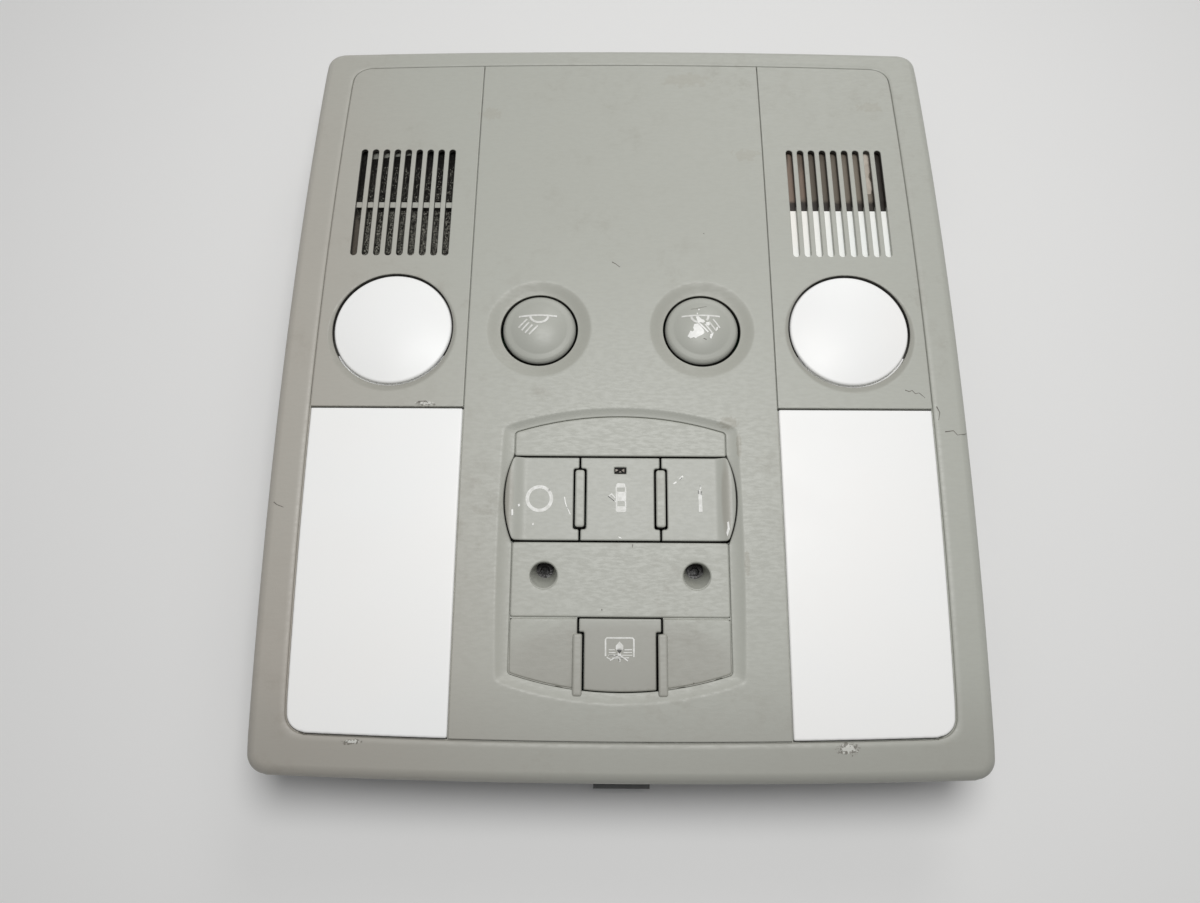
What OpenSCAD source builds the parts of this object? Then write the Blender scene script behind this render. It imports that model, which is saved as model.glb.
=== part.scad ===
// Car dome light: an arched overhead console with two cabin lamps, two reading lamps and a switch group.
// +X is to the right and +Y is up as the visible face is looked at, +Z points out of that face.
// The unit lies on its back, and z = 0 is the flat floor of the rear housing.

/* [Outline] */
// Width of the whole face at its middle
face_w = 216.4; // [206:0.2:226]
// Length of the whole face on its centre line
face_l = 252.2; // [244:0.2:262]
// How far the long edges bow outwards
side_bow = 1.4; // [0.4:0.1:3]
// How far the short edges bow outwards
end_bow = 2.0; // [0.4:0.1:3]
// Corner radius of the outline
corner_r = 6; // [3:0.5:10]
// Radius of the arch, seen from the side
arch_r = 1535; // [900:5:3000]
// Height of the top of the arch above the floor
crown_h = 36; // [34:0.5:44]

/* [Frame] */
// Width of the frame along its long sides
frame_side = 10.6; // [8:0.2:14]
// Width of the frame at the upper end
frame_top = 7.7; // [6:0.1:12]
// Width of the frame at the lower end
frame_bottom = 11; // [8:0.1:14]
// Thickness of every visible shell
shell_t = 2.2; // [1.8:0.1:3]
// Depth of the rim below the face
rim_h = 9; // [6:0.5:11]
// Radius of the rolled outer edge
edge_r = 3.2; // [2:0.1:4]

/* [Joins] */
// Width of the line between two fixed shells
seam = 0.5; // [0.2:0.05:0.8]
// Clearance where one fixed piece seats on another
seat = 0.15; // [0.1:0.05:0.3]
// Clearance around each key and button
key_gap = 0.4; // [0.3:0.05:0.6]

/* [Side panels] */
// Half of the distance between the two seams of the centre panel
centre_half = 49.1; // [46:0.1:52]
// Where the side panel ends and the cabin lamp lens starts
lamp_top_y = -15.4; // [-20:0.1:-12]
// Number of slots in each grille
slot_n = 9; // [5:1:11]
// Distance from slot to slot
slot_pitch = 3.81; // [3.4:0.01:4.2]
// Width of one slot
slot_w = 2.2; // [1.6:0.1:2.6]
// Lower end of the slots
slot_y0 = 38.2; // [36:0.1:42]
// Upper end of the slots
slot_y1 = 80.5; // [60:0.1:90]
// Middle of the grille, from the centre line
slot_x = 73.5; // [70:0.1:77]
// Height of the stiffening bar behind the left grille
bar_y = 58.6; // [50:0.1:66]

/* [Reading lamps] */
// Distance of each reading lamp from the centre line
reading_x = 73.55; // [70:0.05:77]
// Position of the reading lamps along the unit
reading_y = 11.8; // [9:0.1:13]
// Radius of the round lens
reading_r = 19.1; // [17:0.1:20]
// Rise of the round lens from its edge to its middle
reading_rise = 2.2; // [1:0.1:4]
// Outer radius of the shallow dish around the lens
reading_dish_r = 21.4; // [21:0.1:23]

/* [Reading buttons] */
// Distance of each button from the centre line
button_x = 26.25; // [24:0.05:29]
// Position of the buttons along the unit
button_y = 11.5; // [9:0.1:13]
// Radius of a button
button_r = 12.1; // [10:0.1:13]
// Rise of a button's dome
button_rise = 2.4; // [1:0.1:3]
// Outer radius of the dish around a button
button_dish_r = 16.5; // [15:0.1:18]
// Depth of every dish
dish_h = 1.1; // [0.6:0.1:1.4]
// Travel of a reading button
button_travel = 1.3; // [0.8:0.1:1.6]

/* [Switch group] */
// Position of the middle of the switch group
group_y = -60; // [-62:0.5:-58]
// Depth of the recess around the group
recess_h = 1.6; // [1.2:0.1:2]
// Half width of the recess at the face
recess_half = 37; // [37:0.1:39]
// Upper end of the recess, from the middle of the group
recess_up = 45.5; // [45:0.1:47]
// Lower end of the recess, from the middle of the group
recess_down = 45.6; // [45:0.1:47]
// Half width of the insert that carries the keys
insert_half = 32.6; // [31:0.1:34]
// Upper end of the insert, from the middle of the group
insert_up = 42; // [40:0.1:43]
// Lower end of the insert, from the middle of the group
insert_down = 41.1; // [40:0.1:42]
// Radius of the curved upper and lower edges of the group
group_arc_r = 105; // [90:1:140]
// Upper edge of the key row, from the middle of the group
keys_up = 28.8; // [28:0.1:30]
// Lower edge of the key row, from the middle of the group
keys_down = 2.9; // [2:0.1:4]
// Half width of the key row at its bulged ends
keys_half = 35.3; // [34.6:0.1:36]
// Half width of the middle key, to the middle of the gap
door_half = 12.35; // [11:0.05:14]
// Height of the finger lip at the outer ends of the key row
lip_h = 1.8; // [0.6:0.1:2.4]
// Travel of the keys
key_travel = 1.3; // [0.8:0.1:1.6]
// Width of the ribs between the keys
rib_w = 2.9; // [2:0.1:3.4]
// Length of the ribs between the keys
rib_l = 17.8; // [14:0.1:19]
// How far the ribs stand above the keys
rib_h = 0.8; // [0.4:0.1:1.4]
// Upper edge of the blind key below the middle of the group
blind_up = -20.2; // [-21:0.1:-19]
// Half width of the blind key at its upper edge
blind_head_half = 12.1; // [11.5:0.1:13]
// Half width of the blind key below its shoulders
blind_half = 10.6; // [9:0.1:11]
// Height of the wide upper part of the blind key
blind_head_h = 3.9; // [3:0.1:5]
// Distance of the screws from the centre line
screw_x = 22.9; // [21:0.1:25]
// Position of the screws, from the middle of the group
screw_y = -7.7; // [-9:0.1:-7]
// Radius of a screw well at its mouth
well_r = 4; // [3.8:0.1:4.5]
// Depth of a screw well
well_h = 7; // [6:0.1:8]
// How far the well leans upwards over its depth
well_lean = 2.7; // [1.5:0.1:3]

/* [Screws] */
// Radius of the mounting screws
screw_r = 1.75; // [1.5:0.05:2]
// Radius of the heads of the mounting screws
screw_head_r = 2.6; // [2.4:0.05:2.8]
// Height of the heads of the mounting screws
screw_head_h = 3; // [2:0.1:3.5]
// How far the mounting screws stand out of their bosses
screw_out = 8; // [5:0.5:8.5]

/* [Rear housing] */
// Thickness of the floor
floor_t = 2.2; // [1.8:0.1:3]
// How far the wall reaches outside the frame's inner edge
wall_out = 1.7; // [1.4:0.1:2.2]
// How far the wall reaches inside the frame's inner edge
wall_in = 1.5; // [1.2:0.1:2]
// Depth of the rear channel that takes the roof bracket
channel_h = 9; // [6:0.5:9.5]
// Half width of the rear channel
channel_half = 34; // [30:0.5:38]
// Half length of the rear channel
channel_l = 17; // [13:0.5:18]
// Reach of the locating tongue and hooks past the long face
tongue_out = 2; // [1:0.1:4]
// Width of the locating tongue
tongue_w = 16.7; // [12:0.1:24]
// Thickness of the locating tongue and hooks
tongue_t = 4; // [3:0.1:5]

/* [Lamps] */
// Length of the festoon bulb over its caps
festoon_l = 41; // [36:0.5:44]
// Radius of the festoon bulb's glass
festoon_r = 5.2; // [4:0.1:6]
// Height of the middle of the festoon bulb
festoon_z = 15; // [13:0.5:18]
// Wall thickness of the reflectors
reflector_t = 1.5; // [1.2:0.1:2]
// Radius of the reading lamp's bulb holder
holder_r = 9.5; // [8:0.1:10]
// Radius of the reading lamp's bulb
wedge_r = 5; // [4:0.1:5.2]

/* [Electrics] */
// Thickness of the circuit board
board_t = 1.6; // [1.2:0.1:2]
// Height of the upper side of the circuit board
board_z = 16; // [15.5:0.1:18]
// Half width of the circuit board
board_half = 43; // [40:0.5:44]
// Upper end of the circuit board
board_y1 = 50; // [46:0.5:60]
// Lower end of the circuit board
board_y0 = -103; // [-106:0.5:-100]
// Side of a push switch body
switch_w = 6; // [5:0.1:7]
// Height of a push switch body
switch_h = 3.3; // [2.5:0.1:3.5]
// Height of the stem of a push switch
stem_h = 1; // [0.6:0.1:1.2]
// Length of the wiring socket
socket_l = 28; // [24:0.5:34]
// Width of the wiring socket
socket_w = 13; // [11:0.5:16]
// Position of the wiring socket
socket_y = 36; // [32:0.5:40]
// Number of pins in each row of the wiring socket
pin_n = 8; // [4:1:9]
// Distance from pin to pin
pin_pitch = 2.54; // [2:0.01:2.6]

/* [Hidden] */
$fn = 64;
arch_fn = 720;
round_fn = 32;
far = 400;

face_grey = [0.70, 0.69, 0.65];
key_grey = [0.66, 0.66, 0.62];
lens_white = [0.97, 0.97, 0.96];
housing_black = [0.10, 0.10, 0.10];
reflector_white = [0.92, 0.92, 0.90];
board_green = [0.10, 0.35, 0.18];
switch_black = [0.14, 0.14, 0.14];
spring_steel = [0.70, 0.70, 0.70];
bulb_glass = [0.85, 0.88, 0.90];
foam_black = [0.13, 0.12, 0.11];

// Height of the face at y, and its slope there
function face_z(y) = crown_h - arch_r + sqrt(arch_r * arch_r - y * y);
function face_tilt(y) = -asin(y / arch_r);

// Bow of a long edge at y, and of a short edge at x, as true arcs through the corners
function bow_r(chord, rise) = (chord * chord / 4 + rise * rise) / (2 * rise);
function bow_at(s, chord, rise) = bow_r(chord, rise) - sqrt(pow(bow_r(chord, rise), 2) - s * s);

// One ring of the outline, drawn in by a distance: right side from the upper to the lower end, then back
ring_end_steps = 6;
ring_corner_steps = 6;
ring_side_steps = 14;
function end_y(x, half_w, half_l) = half_l - bow_at(x, 2 * half_w, end_bow);
function side_x(y, half_w, half_l) = half_w - bow_at(y, 2 * half_l, side_bow);
function right_ring(half_w, half_l, r) =
    let (
        cx = side_x(half_l - end_bow, half_w, half_l) - r,
        cy = end_y(half_w - side_bow, half_w, half_l) - r,
        end_pts = [for (i = [1:ring_end_steps]) let (x = cx * i / ring_end_steps)
            [x, end_y(x, half_w, half_l)]],
        corner = [for (i = [1:ring_corner_steps]) let (a = 90 - 90 * i / ring_corner_steps)
            [cx + r * cos(a), cy + r * sin(a)]],
        side = [for (i = [1:ring_side_steps - 1]) let (y = cy * (1 - 2 * i / ring_side_steps))
            [side_x(y, half_w, half_l), y]],
        lower = [for (i = [0:ring_corner_steps - 1]) let (a = -90 * i / ring_corner_steps)
            [cx + r * cos(a), -cy + r * sin(a)]],
        lower_end = [for (i = [ring_end_steps:-1:1]) let (x = cx * i / ring_end_steps)
            [x, -end_y(x, half_w, half_l)]]
    ) concat(end_pts, corner, side, lower, lower_end);
function full_ring(half) = concat(half, [for (i = [len(half) - 1:-1:0]) [-half[i][0], half[i][1]]]);

// The outline of the whole face, drawn in by inset
function face_ring(inset) =
    full_ring(right_ring(face_w / 2 - inset, face_l / 2 - inset, max(corner_r - inset, 0.8)));

// The inner edge of the frame, grown outwards by out
inner_mid_y = (frame_bottom - frame_top) / 2;
inner_half_l = face_l / 2 - (frame_top + frame_bottom) / 2;
inner_half_w = face_w / 2 - frame_side;
module inner_outline(out = 0)
    translate([0, inner_mid_y])
        polygon(full_ring(right_ring(inner_half_w + out, inner_half_l + out, corner_r + min(out, 0))));

// A closed band skinned through a loop of rings: each ring is a list of [x, y], with its depth below the face
module arched_band(rings, depths) {
    n = len(rings[0]);
    m = len(rings);
    pts = [for (j = [0:m - 1]) for (p = rings[j]) [p[0], p[1], face_z(p[1]) - depths[j]]];
    skin = [for (j = [0:m - 1]) for (i = [0:n - 1])
        let (k = (i + 1) % n, a = j * n, b = ((j + 1) % m) * n)
            each [[a + i, b + k, a + k], [a + i, b + i, b + k]]];
    polyhedron(points = pts, faces = skin, convexity = 8);
}

// Keeps what lies between two depths below the arched face
module between(top, bottom) {
    intersection() {
        children();
        difference() {
            arch_bar(arch_r - top);
            arch_bar(arch_r - bottom);
        }
    }
}

module arch_bar(r)
    translate([0, 0, crown_h - arch_r])
        rotate([0, 90, 0])
            cylinder(r = r, h = far, center = true, $fn = arch_fn);

module below_face(depth)
    intersection() {
        children();
        arch_bar(arch_r - depth);
    }

module column(z0, z1)
    translate([0, 0, z0])
        linear_extrude(height = z1 - z0)
            children();

module on_side(side) {
    if (side < 0)
        mirror([1, 0, 0]) children();
    else
        children();
}

module rounded(r)
    offset(r = r, $fn = round_fn)
        offset(delta = -r)
            children();

// The frame of the switch group: its plane touches the arch at the middle of the group
module group_frame()
    translate([0, group_y, face_z(group_y)])
        rotate([face_tilt(group_y), 0, 0])
            children();

// A slab in the group's frame between two depths
module group_slab(top, bottom)
    translate([0, 0, -bottom])
        linear_extrude(height = bottom - top)
            children();

group_z = face_z(group_y);
insert_corner_r = 2.2;
recess_corner_r = 5;
flange_t = 1.4;
flange_bottom = recess_h + shell_t + seat + flange_t;
flange_out = 2.2;
guide_t = 1.2;
guide_h = 10.4;
bar_t = 1.5;
key_t = 1.5;
key_skirt = 7;
skirt_t = 1.1;
plunger_w = 3;
bulge = 2.6;

// Outline with straight sides and curved upper and lower edges
module lozenge(half, up, down, r)
    rounded(r)
        intersection() {
            translate([-half, -down]) square([2 * half, up + down]);
            translate([0, up - group_arc_r]) circle(r = group_arc_r, $fn = 180);
            translate([0, group_arc_r - down]) circle(r = group_arc_r, $fn = 180);
        }

module insert_outline() lozenge(insert_half, insert_up, insert_down, insert_corner_r);
module recess_outline() lozenge(recess_half, recess_up, recess_down, recess_corner_r);

// The whole key row: bulged ends and rounded corners
keys_h = keys_up - keys_down;
keys_mid = (keys_up + keys_down) / 2;
keys_bulge_r = bow_r(keys_h, bulge);
module key_row()
    rounded(1.4)
        intersection() {
            translate([-keys_half, keys_down]) square([2 * keys_half, keys_h]);
            translate([keys_half - keys_bulge_r, keys_mid]) circle(r = keys_bulge_r, $fn = 180);
            translate([keys_bulge_r - keys_half, keys_mid]) circle(r = keys_bulge_r, $fn = 180);
        }

module rib_outline(grow = 0)
    for (s = [-1, 1])
        translate([s * door_half, keys_mid])
            rounded(0.8)
                square([rib_w + 2 * grow, rib_l + 2 * grow], center = true);

// The blind key: a wide head above a body whose lower edge follows the insert
blind_neck_y = blind_up - blind_head_h;
module blind_outline(grow = 0)
    offset(delta = grow)
        union() {
            translate([-blind_head_half, blind_neck_y]) square([2 * blind_head_half, blind_head_h]);
            intersection() {
                translate([-blind_half, -insert_down]) square([2 * blind_half, insert_down + blind_up]);
                translate([0, group_arc_r - insert_down]) circle(r = group_arc_r, $fn = 180);
            }
        }

lower_rib_len = 17.8;
lower_rib_w = 2.8;
lower_rib_x = blind_half + key_gap + 0.1 + lower_rib_w / 2;
module lower_ribs()
    for (s = [-1, 1])
        translate([s * lower_rib_x, blind_neck_y - lower_rib_len / 2 - 0.4])
            rounded(0.7)
                square([lower_rib_w, lower_rib_len], center = true);

// Outer frame: a ring with a rolled edge and a rim that turns back to the roof lining
rim_draft = 0.4;
inner_half_ring = right_ring(inner_half_w, inner_half_l, corner_r);
inner_ring = [for (p = full_ring(inner_half_ring)) [p[0], p[1] + inner_mid_y]];
roll_outer = [for (a = [90:-15:0]) edge_r * [1 - cos(a), 1 - sin(a)]];
roll_inner = [for (a = [0:30:90]) [edge_r, edge_r] - (edge_r - shell_t) * [cos(a), sin(a)]];
frame_section = concat(roll_outer, [[rim_draft, rim_h], [rim_draft + shell_t, rim_h]], roll_inner);
module outer_frame()
    color(face_grey)
        arched_band(
            concat([inner_ring], [for (p = frame_section) face_ring(p[0])], [inner_ring]),
            concat([0], [for (p = frame_section) p[1]], [shell_t])
        );

// One visible field of the face: a flat shape cut to the frame's inner edge
module field(x0, x1, y0, y1)
    intersection() {
        inner_outline(-seam);
        translate([x0, y0]) square([x1 - x0, y1 - y0]);
    }

dish_floor_r = button_r + key_gap;
collar_h = 9;
collar_t = 1.4;
button_z = face_z(button_y);
module centre_panel()
    color(face_grey)
        difference() {
            union() {
                between(0, shell_t)
                    column(0, far) field(-centre_half + seam / 2, centre_half - seam / 2, -far / 2, far / 2);
                below_face(shell_t / 2)
                    group_frame()
                        group_slab(0, recess_h + shell_t) offset(delta = 1) recess_outline();
                for (s = [-1, 1])
                    below_face(shell_t / 2)
                        translate([s * button_x, button_y, button_z - collar_h])
                            cylinder(r = button_dish_r, h = collar_h - dish_h - shell_t);
                for (s = [-1, 1])
                    below_face(shell_t / 2)
                        translate([s * button_x, button_y, button_z - dish_h - shell_t])
                            cylinder(r = button_dish_r, h = shell_t);
            }
            group_frame() {
                hull() {
                    group_slab(recess_h - 0.01, recess_h) offset(delta = 0.5) insert_outline();
                    group_slab(-1, 0) recess_outline();
                }
                group_slab(-1, far / 10) offset(delta = seat) insert_outline();
                group_slab(-1, far / 10) offset(delta = seat) lower_ribs();
                group_slab(-1, far / 10) offset(delta = key_gap) key_row();
            }
            for (s = [-1, 1])
                translate([s * button_x, button_y, button_z]) {
                    translate([0, 0, -dish_h])
                        cylinder(r1 = dish_floor_r + 0.6, r2 = button_dish_r, h = dish_h);
                    cylinder(r = button_dish_r, h = dish_h);
                    translate([0, 0, -collar_h - 1]) cylinder(r = dish_floor_r, h = collar_h + 2);
                    difference() {
                        translate([0, 0, -collar_h - 1])
                            cylinder(r = button_dish_r + 1, h = collar_h + 1 - dish_h - shell_t);
                        translate([0, 0, -collar_h - 2])
                            cylinder(r = dish_floor_r + collar_t, h = collar_h + 4);
                    }
                }
        }

// Dish and hole for a reading lamp, and the row of slots
lens_z = face_z(reading_y);
lens_hole_r = reading_r + key_gap / 2;
lens_edge_drop = 0.9;
module slots()
    for (i = [0:slot_n - 1])
        translate([slot_x + (i - (slot_n - 1) / 2) * slot_pitch, 0]) {
            translate([-slot_w / 2, slot_y0 + slot_w / 2]) square([slot_w, slot_y1 - slot_y0 - slot_w]);
            for (y = [slot_y0 + slot_w / 2, slot_y1 - slot_w / 2])
                translate([0, y]) circle(r = slot_w / 2);
        }

module side_panel(side)
    color(face_grey)
        on_side(side)
            difference() {
                union() {
                    between(0, shell_t)
                        column(0, far)
                            difference() {
                                field(centre_half + seam / 2, far / 2, lamp_top_y + seam / 2, far / 2);
                                slots();
                            }
                    if (side < 0)
                        between(shell_t - 0.8, shell_t + 0.6)
                            translate([slot_x - slot_n * slot_pitch / 2 - 1, bar_y - 1.1, 0])
                                cube([slot_n * slot_pitch + 2, 2.2, far]);
                }
                translate([reading_x, reading_y, lens_z]) {
                    translate([0, 0, -dish_h])
                        cylinder(r1 = lens_hole_r + 0.2, r2 = reading_dish_r, h = dish_h);
                    cylinder(r = reading_dish_r, h = dish_h);
                    translate([0, 0, -far / 4]) cylinder(r = lens_hole_r, h = far / 2);
                }
            }

// Cabin lamp lens: an arched opal plate with a skirt
lens_skirt = 4;
lens_skirt_t = 1.4;
lens_gap = seam + 0.1;
module lamp_field()
    intersection() {
        inner_outline(-lens_gap);
        translate([centre_half + seam / 2, -far / 2])
            square([far / 2, far / 2 + lamp_top_y - seam / 2]);
    }

tray_corner_r = corner_r - wall_in;
module lamp_inner(inset)
    rounded(tray_corner_r - inset)
        translate([tray_x0 + inset, tray_y0 + inset])
            square([tray_x1 - tray_x0 - 2 * inset, tray_y1 - tray_y0 - 2 * inset]);

module lamp_lens(side)
    color(lens_white)
        on_side(side)
            union() {
                between(0, shell_t)
                    column(0, far) rounded(0.6) lamp_field();
                below_face(shell_t - 0.2)
                    column(tray_rim_z + seat, far)
                        difference() {
                            lamp_inner(0);
                            lamp_inner(lens_skirt_t);
                        }
            }

// Tray reflector of a cabin lamp: tapered walls under a rim that the lens skirt stands on
tray_x0 = centre_half + 1.4;
tray_x1 = inner_half_w - side_bow - wall_in - 0.3;
tray_x = (tray_x0 + tray_x1) / 2;
tray_y0 = inner_mid_y - inner_half_l + end_bow + wall_in + 0.3;
tray_y1 = lamp_top_y - 1.4;
tray_mid_y = (tray_y0 + tray_y1) / 2;
tray_rim_z = face_z(inner_mid_y - inner_half_l) - shell_t - lens_skirt;
tray_z0 = floor_t + seat;
tray_floor_inset = 10;

// A ring of points on a rounded rectangle about the middle of the tray
function tray_ring(inset, r, z) = [
    for (q = [0:3]) for (i = [0:4])
        let (
            a = 90 * q + 22.5 * i,
            hx = (tray_x1 - tray_x0) / 2 - inset - r,
            hy = (tray_y1 - tray_y0) / 2 - inset - r,
            sx = (q == 0 || q == 3) ? 1 : -1,
            sy = q < 2 ? 1 : -1
        ) [tray_x + sx * hx + r * cos(a), tray_mid_y + sy * hy + r * sin(a), z]
];

// A solid skinned over a list of level rings and closed by a flat face at each end
module skinned(rings) {
    n = len(rings[0]);
    m = len(rings);
    skin = [for (j = [0:m - 2]) for (i = [0:n - 1])
        let (k = (i + 1) % n, a = j * n, b = (j + 1) * n)
            each [[a + i, b + k, a + k], [a + i, b + i, b + k]]];
    polyhedron(
        points = [for (r = rings) each r],
        faces = concat(skin, [[for (i = [0:n - 1]) i]], [[for (i = [n - 1:-1:0]) (m - 1) * n + i]]),
        convexity = 6
    );
}

module lamp_reflector(side)
    color(reflector_white)
        on_side(side)
            skinned([
                tray_ring(tray_floor_inset, tray_corner_r, tray_z0),
                tray_ring(0, tray_corner_r, tray_rim_z),
                tray_ring(reflector_t, tray_corner_r - reflector_t, tray_rim_z),
                tray_ring(tray_floor_inset + reflector_t, 3, tray_z0 + reflector_t)
            ]);

// Festoon bulb: glass tube between two pointed caps, one sealed piece
cap_r = 3.8;
cap_l = 6;
module lamp_bulb(side)
    color(bulb_glass)
        on_side(side)
            translate([tray_x, tray_mid_y, festoon_z])
                rotate([90, 0, 0]) {
                    cylinder(r = festoon_r, h = festoon_l - 2 * cap_l, center = true);
                    for (s = [-1, 1])
                        mirror([0, 0, s < 0 ? 1 : 0])
                            translate([0, 0, festoon_l / 2 - cap_l - 0.01]) {
                                cylinder(r = cap_r, h = cap_l - 2.6);
                                translate([0, 0, cap_l - 2.61]) cylinder(r1 = cap_r, r2 = 1, h = 2.61);
                            }
                }

// Two spring blades that hold the festoon bulb by its points
blade_t = 0.6;
blade_w = 9;
blade_foot = 7;
blade_z0 = tray_z0 + reflector_t + seat;
module lamp_contacts(side)
    color(spring_steel)
        on_side(side)
            for (s = [-1, 1])
                translate([tray_x, tray_mid_y + s * (festoon_l / 2 - 0.9), blade_z0])
                    mirror([0, s < 0 ? 1 : 0, 0])
                        difference() {
                            union() {
                                translate([-blade_w / 2, 0, 0])
                                    cube([blade_w, blade_t, festoon_z - blade_z0 + cap_r + 1.6]);
                                translate([-blade_w / 2, 0, 0]) cube([blade_w, blade_foot, blade_t]);
                            }
                            translate([0, -1, festoon_z - blade_z0])
                                rotate([-90, 0, 0]) cylinder(r = 2.1, h = 4);
                        }

// Round reading lens: a domed button of opal plastic with a flange behind the panel
lens_flange_r = reading_r + 1.4;
lens_wall = 1.8;
dome_steps = 12;
function dome(r, rise, z, n) =
    let (big = (r * r + rise * rise) / (2 * rise))
        [for (i = [0:n]) let (x = r * i / n) [x, z + sqrt(big * big - x * x) - (big - rise)]];
module reading_lens(side)
    color(lens_white)
        translate([side * reading_x, reading_y, lens_z])
            rotate_extrude()
                polygon(concat(
                    dome(reading_r, reading_rise, -lens_edge_drop, dome_steps),
                    [
                        [reading_r, -lens_flange_z],
                        [lens_flange_r, -lens_flange_z],
                        [lens_flange_r, -lens_flange_z - flange_t],
                        [reading_r - lens_wall, -lens_flange_z - flange_t],
                        [reading_r - lens_wall, -lens_edge_drop - lens_wall],
                        [0, reading_rise - lens_edge_drop - lens_wall]
                    ]
                ));
lens_flange_z = shell_t + 0.5;

// Reading lamp reflector: a turned bowl that narrows to the neck of the bulb holder
bowl_top = lens_z - lens_flange_z - flange_t - seat;
bowl_neck_z = 12;
bowl_neck_r = holder_r + 0.1;
module reading_reflector(side)
    color(reflector_white)
        translate([side * reading_x, reading_y, 0])
            rotate_extrude()
                polygon(concat(
                    [[bowl_neck_r, bowl_neck_z], [bowl_neck_r + reflector_t, bowl_neck_z]],
                    [for (i = [0:8]) bowl_point(i / 8, reflector_t)],
                    [for (i = [8:-1:0]) bowl_point(i / 8, 0)]
                ));
bowl_rim_r = lens_flange_r - reflector_t;
function bowl_point(t, wall) = [
    bowl_neck_r + wall + (bowl_rim_r - bowl_neck_r) * sqrt(t),
    bowl_neck_z + 2 + (bowl_top - bowl_neck_z - 2) * t
];

// Bulb holder: a stepped plug that turns into the housing from behind
holder_z0 = 0.6;
holder_top = bowl_neck_z + 2;
wedge_depth = 7.9;
wedge_base_t = 2.8;
wedge_l = 9;
module bulb_holder(side)
    color(housing_black)
        translate([side * reading_x, reading_y, 0])
            difference() {
                translate([0, 0, holder_z0]) cylinder(r = holder_r, h = holder_top - holder_z0);
                translate([0, 0, holder_top - wedge_depth - seat])
                    linear_extrude(height = wedge_depth + 1)
                        square([2 * wedge_r + seat, wedge_base_t + 2 * seat], center = true);
                for (s = [-1, 1])
                    translate([s * (holder_r - 2) - 1.5, -holder_r, 0])
                        cube([3, 2 * holder_r, 2.4]);
            }

// Wedge bulb: flat base in the holder and a round glass above it
module reading_bulb(side)
    color(bulb_glass)
        translate([side * reading_x, reading_y, 0]) {
            translate([0, 0, holder_top - wedge_depth])
                linear_extrude(height = wedge_depth + 1)
                    square([2 * wedge_r - seat, wedge_base_t], center = true);
            translate([0, 0, holder_top + 2 * seat]) cylinder(r = wedge_r, h = wedge_l);
            translate([0, 0, holder_top + 2 * seat + wedge_l]) sphere(r = wedge_r);
        }

// Switch insert: one moulding with the upper pad, the screw pad, the lower pads, the ribs and the key guides
screw_pad_y = -20;
groove_w = 0.5;
groove_h = 0.5;
screw_axis_y = screw_y + well_lean;
well_seat_h = well_h + screw_head_h;
well_bottom_r = screw_head_r + 0.1;
boss_wall = 1.6;
boss_r = well_bottom_r + boss_wall;
boss_top_z = group_z - recess_h - well_seat_h - boss_wall;
module key_windows() {
    offset(delta = key_gap) key_row();
    blind_outline(key_gap);
}

module switch_surround()
    color(face_grey)
        union() {
            difference() {
                group_frame()
                    difference() {
                        union() {
                            group_slab(recess_h, flange_bottom) insert_outline();
                            group_slab(flange_bottom - flange_t, flange_bottom)
                                offset(delta = flange_out)
                                    union() {
                                        insert_outline();
                                        key_row();
                                    }
                            group_slab(flange_bottom - flange_t, recess_h + guide_h)
                                offset(delta = guide_t) key_windows();
                        }
                        group_slab(0, far / 20) key_windows();
                        group_slab(0, recess_h + groove_h)
                            translate([-far / 2, screw_pad_y - groove_w / 2]) square([far, groove_w]);
                    }
                for (s = [-1, 1])
                    screw_well(s, well_bottom_r);
            }
            for (s = [-1, 1])
                difference() {
                    screw_boss(s);
                    screw_well(s, well_bottom_r);
                    screw_hole(s);
                }
            group_frame() {
                group_slab(recess_h - rib_h, recess_h + guide_h - bar_t / 2) rib_outline();
                group_slab(recess_h - rib_h, recess_h + shell_t) lower_ribs();
                group_slab(recess_h + guide_h - bar_t, recess_h + guide_h)
                    for (s = [-1, 1])
                        translate([s * door_half, keys_mid])
                            square([rib_w + 0.4, keys_h + 2 * key_gap + guide_t], center = true);
            }
        }

// Screw well: a leaning cone from the face, then an upright bore for the head
well_z = group_z - recess_h;
module screw_well(s, r) {
    translate([s * screw_x, group_y + screw_axis_y, well_z - well_h])
        rotate([atan(well_lean / well_h), 0, 0])
            cylinder(r1 = r - 0.3, r2 = well_r, h = well_h + 1.5);
    translate([s * screw_x, group_y + screw_axis_y, well_z - well_seat_h])
        cylinder(r = r, h = screw_head_h + 1);
}

module screw_hole(s)
    translate([s * screw_x, group_y + screw_axis_y, 0])
        cylinder(r = screw_r + 0.1, h = far / 4);

module screw_boss(s)
    group_below(recess_h + 0.5)
        translate([s * screw_x, group_y + screw_axis_y, boss_top_z])
            cylinder(r = boss_r, h = far / 10);

module group_below(depth)
    intersection() {
        children();
        group_frame() group_slab(depth, far / 8) square(far, center = true);
    }

// Keys: hollow caps with a plunger above their push switch
switch_top_z = board_z + switch_h + stem_h;
stem_gap = 0.15;
module key_cap(plunger_x, plunger_y)
    union() {
        children(0);
        translate([plunger_x - plunger_w / 2, plunger_y - plunger_w / 2, -plunger_depth(plunger_y)])
            cube([plunger_w, plunger_w, plunger_depth(plunger_y) - recess_h - key_t / 2]);
    }
function plunger_depth(y) =
    (group_z + y * sin(face_tilt(group_y)) - switch_top_z - key_travel - stem_gap) / cos(face_tilt(group_y));

module hollow_cap(lip)
    difference() {
        lipped(lip) group_slab(recess_h - 4, recess_h + key_skirt) children(0);
        group_slab(recess_h + key_t, recess_h + key_skirt + 1) offset(delta = -skirt_t) children(0);
    }

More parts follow.
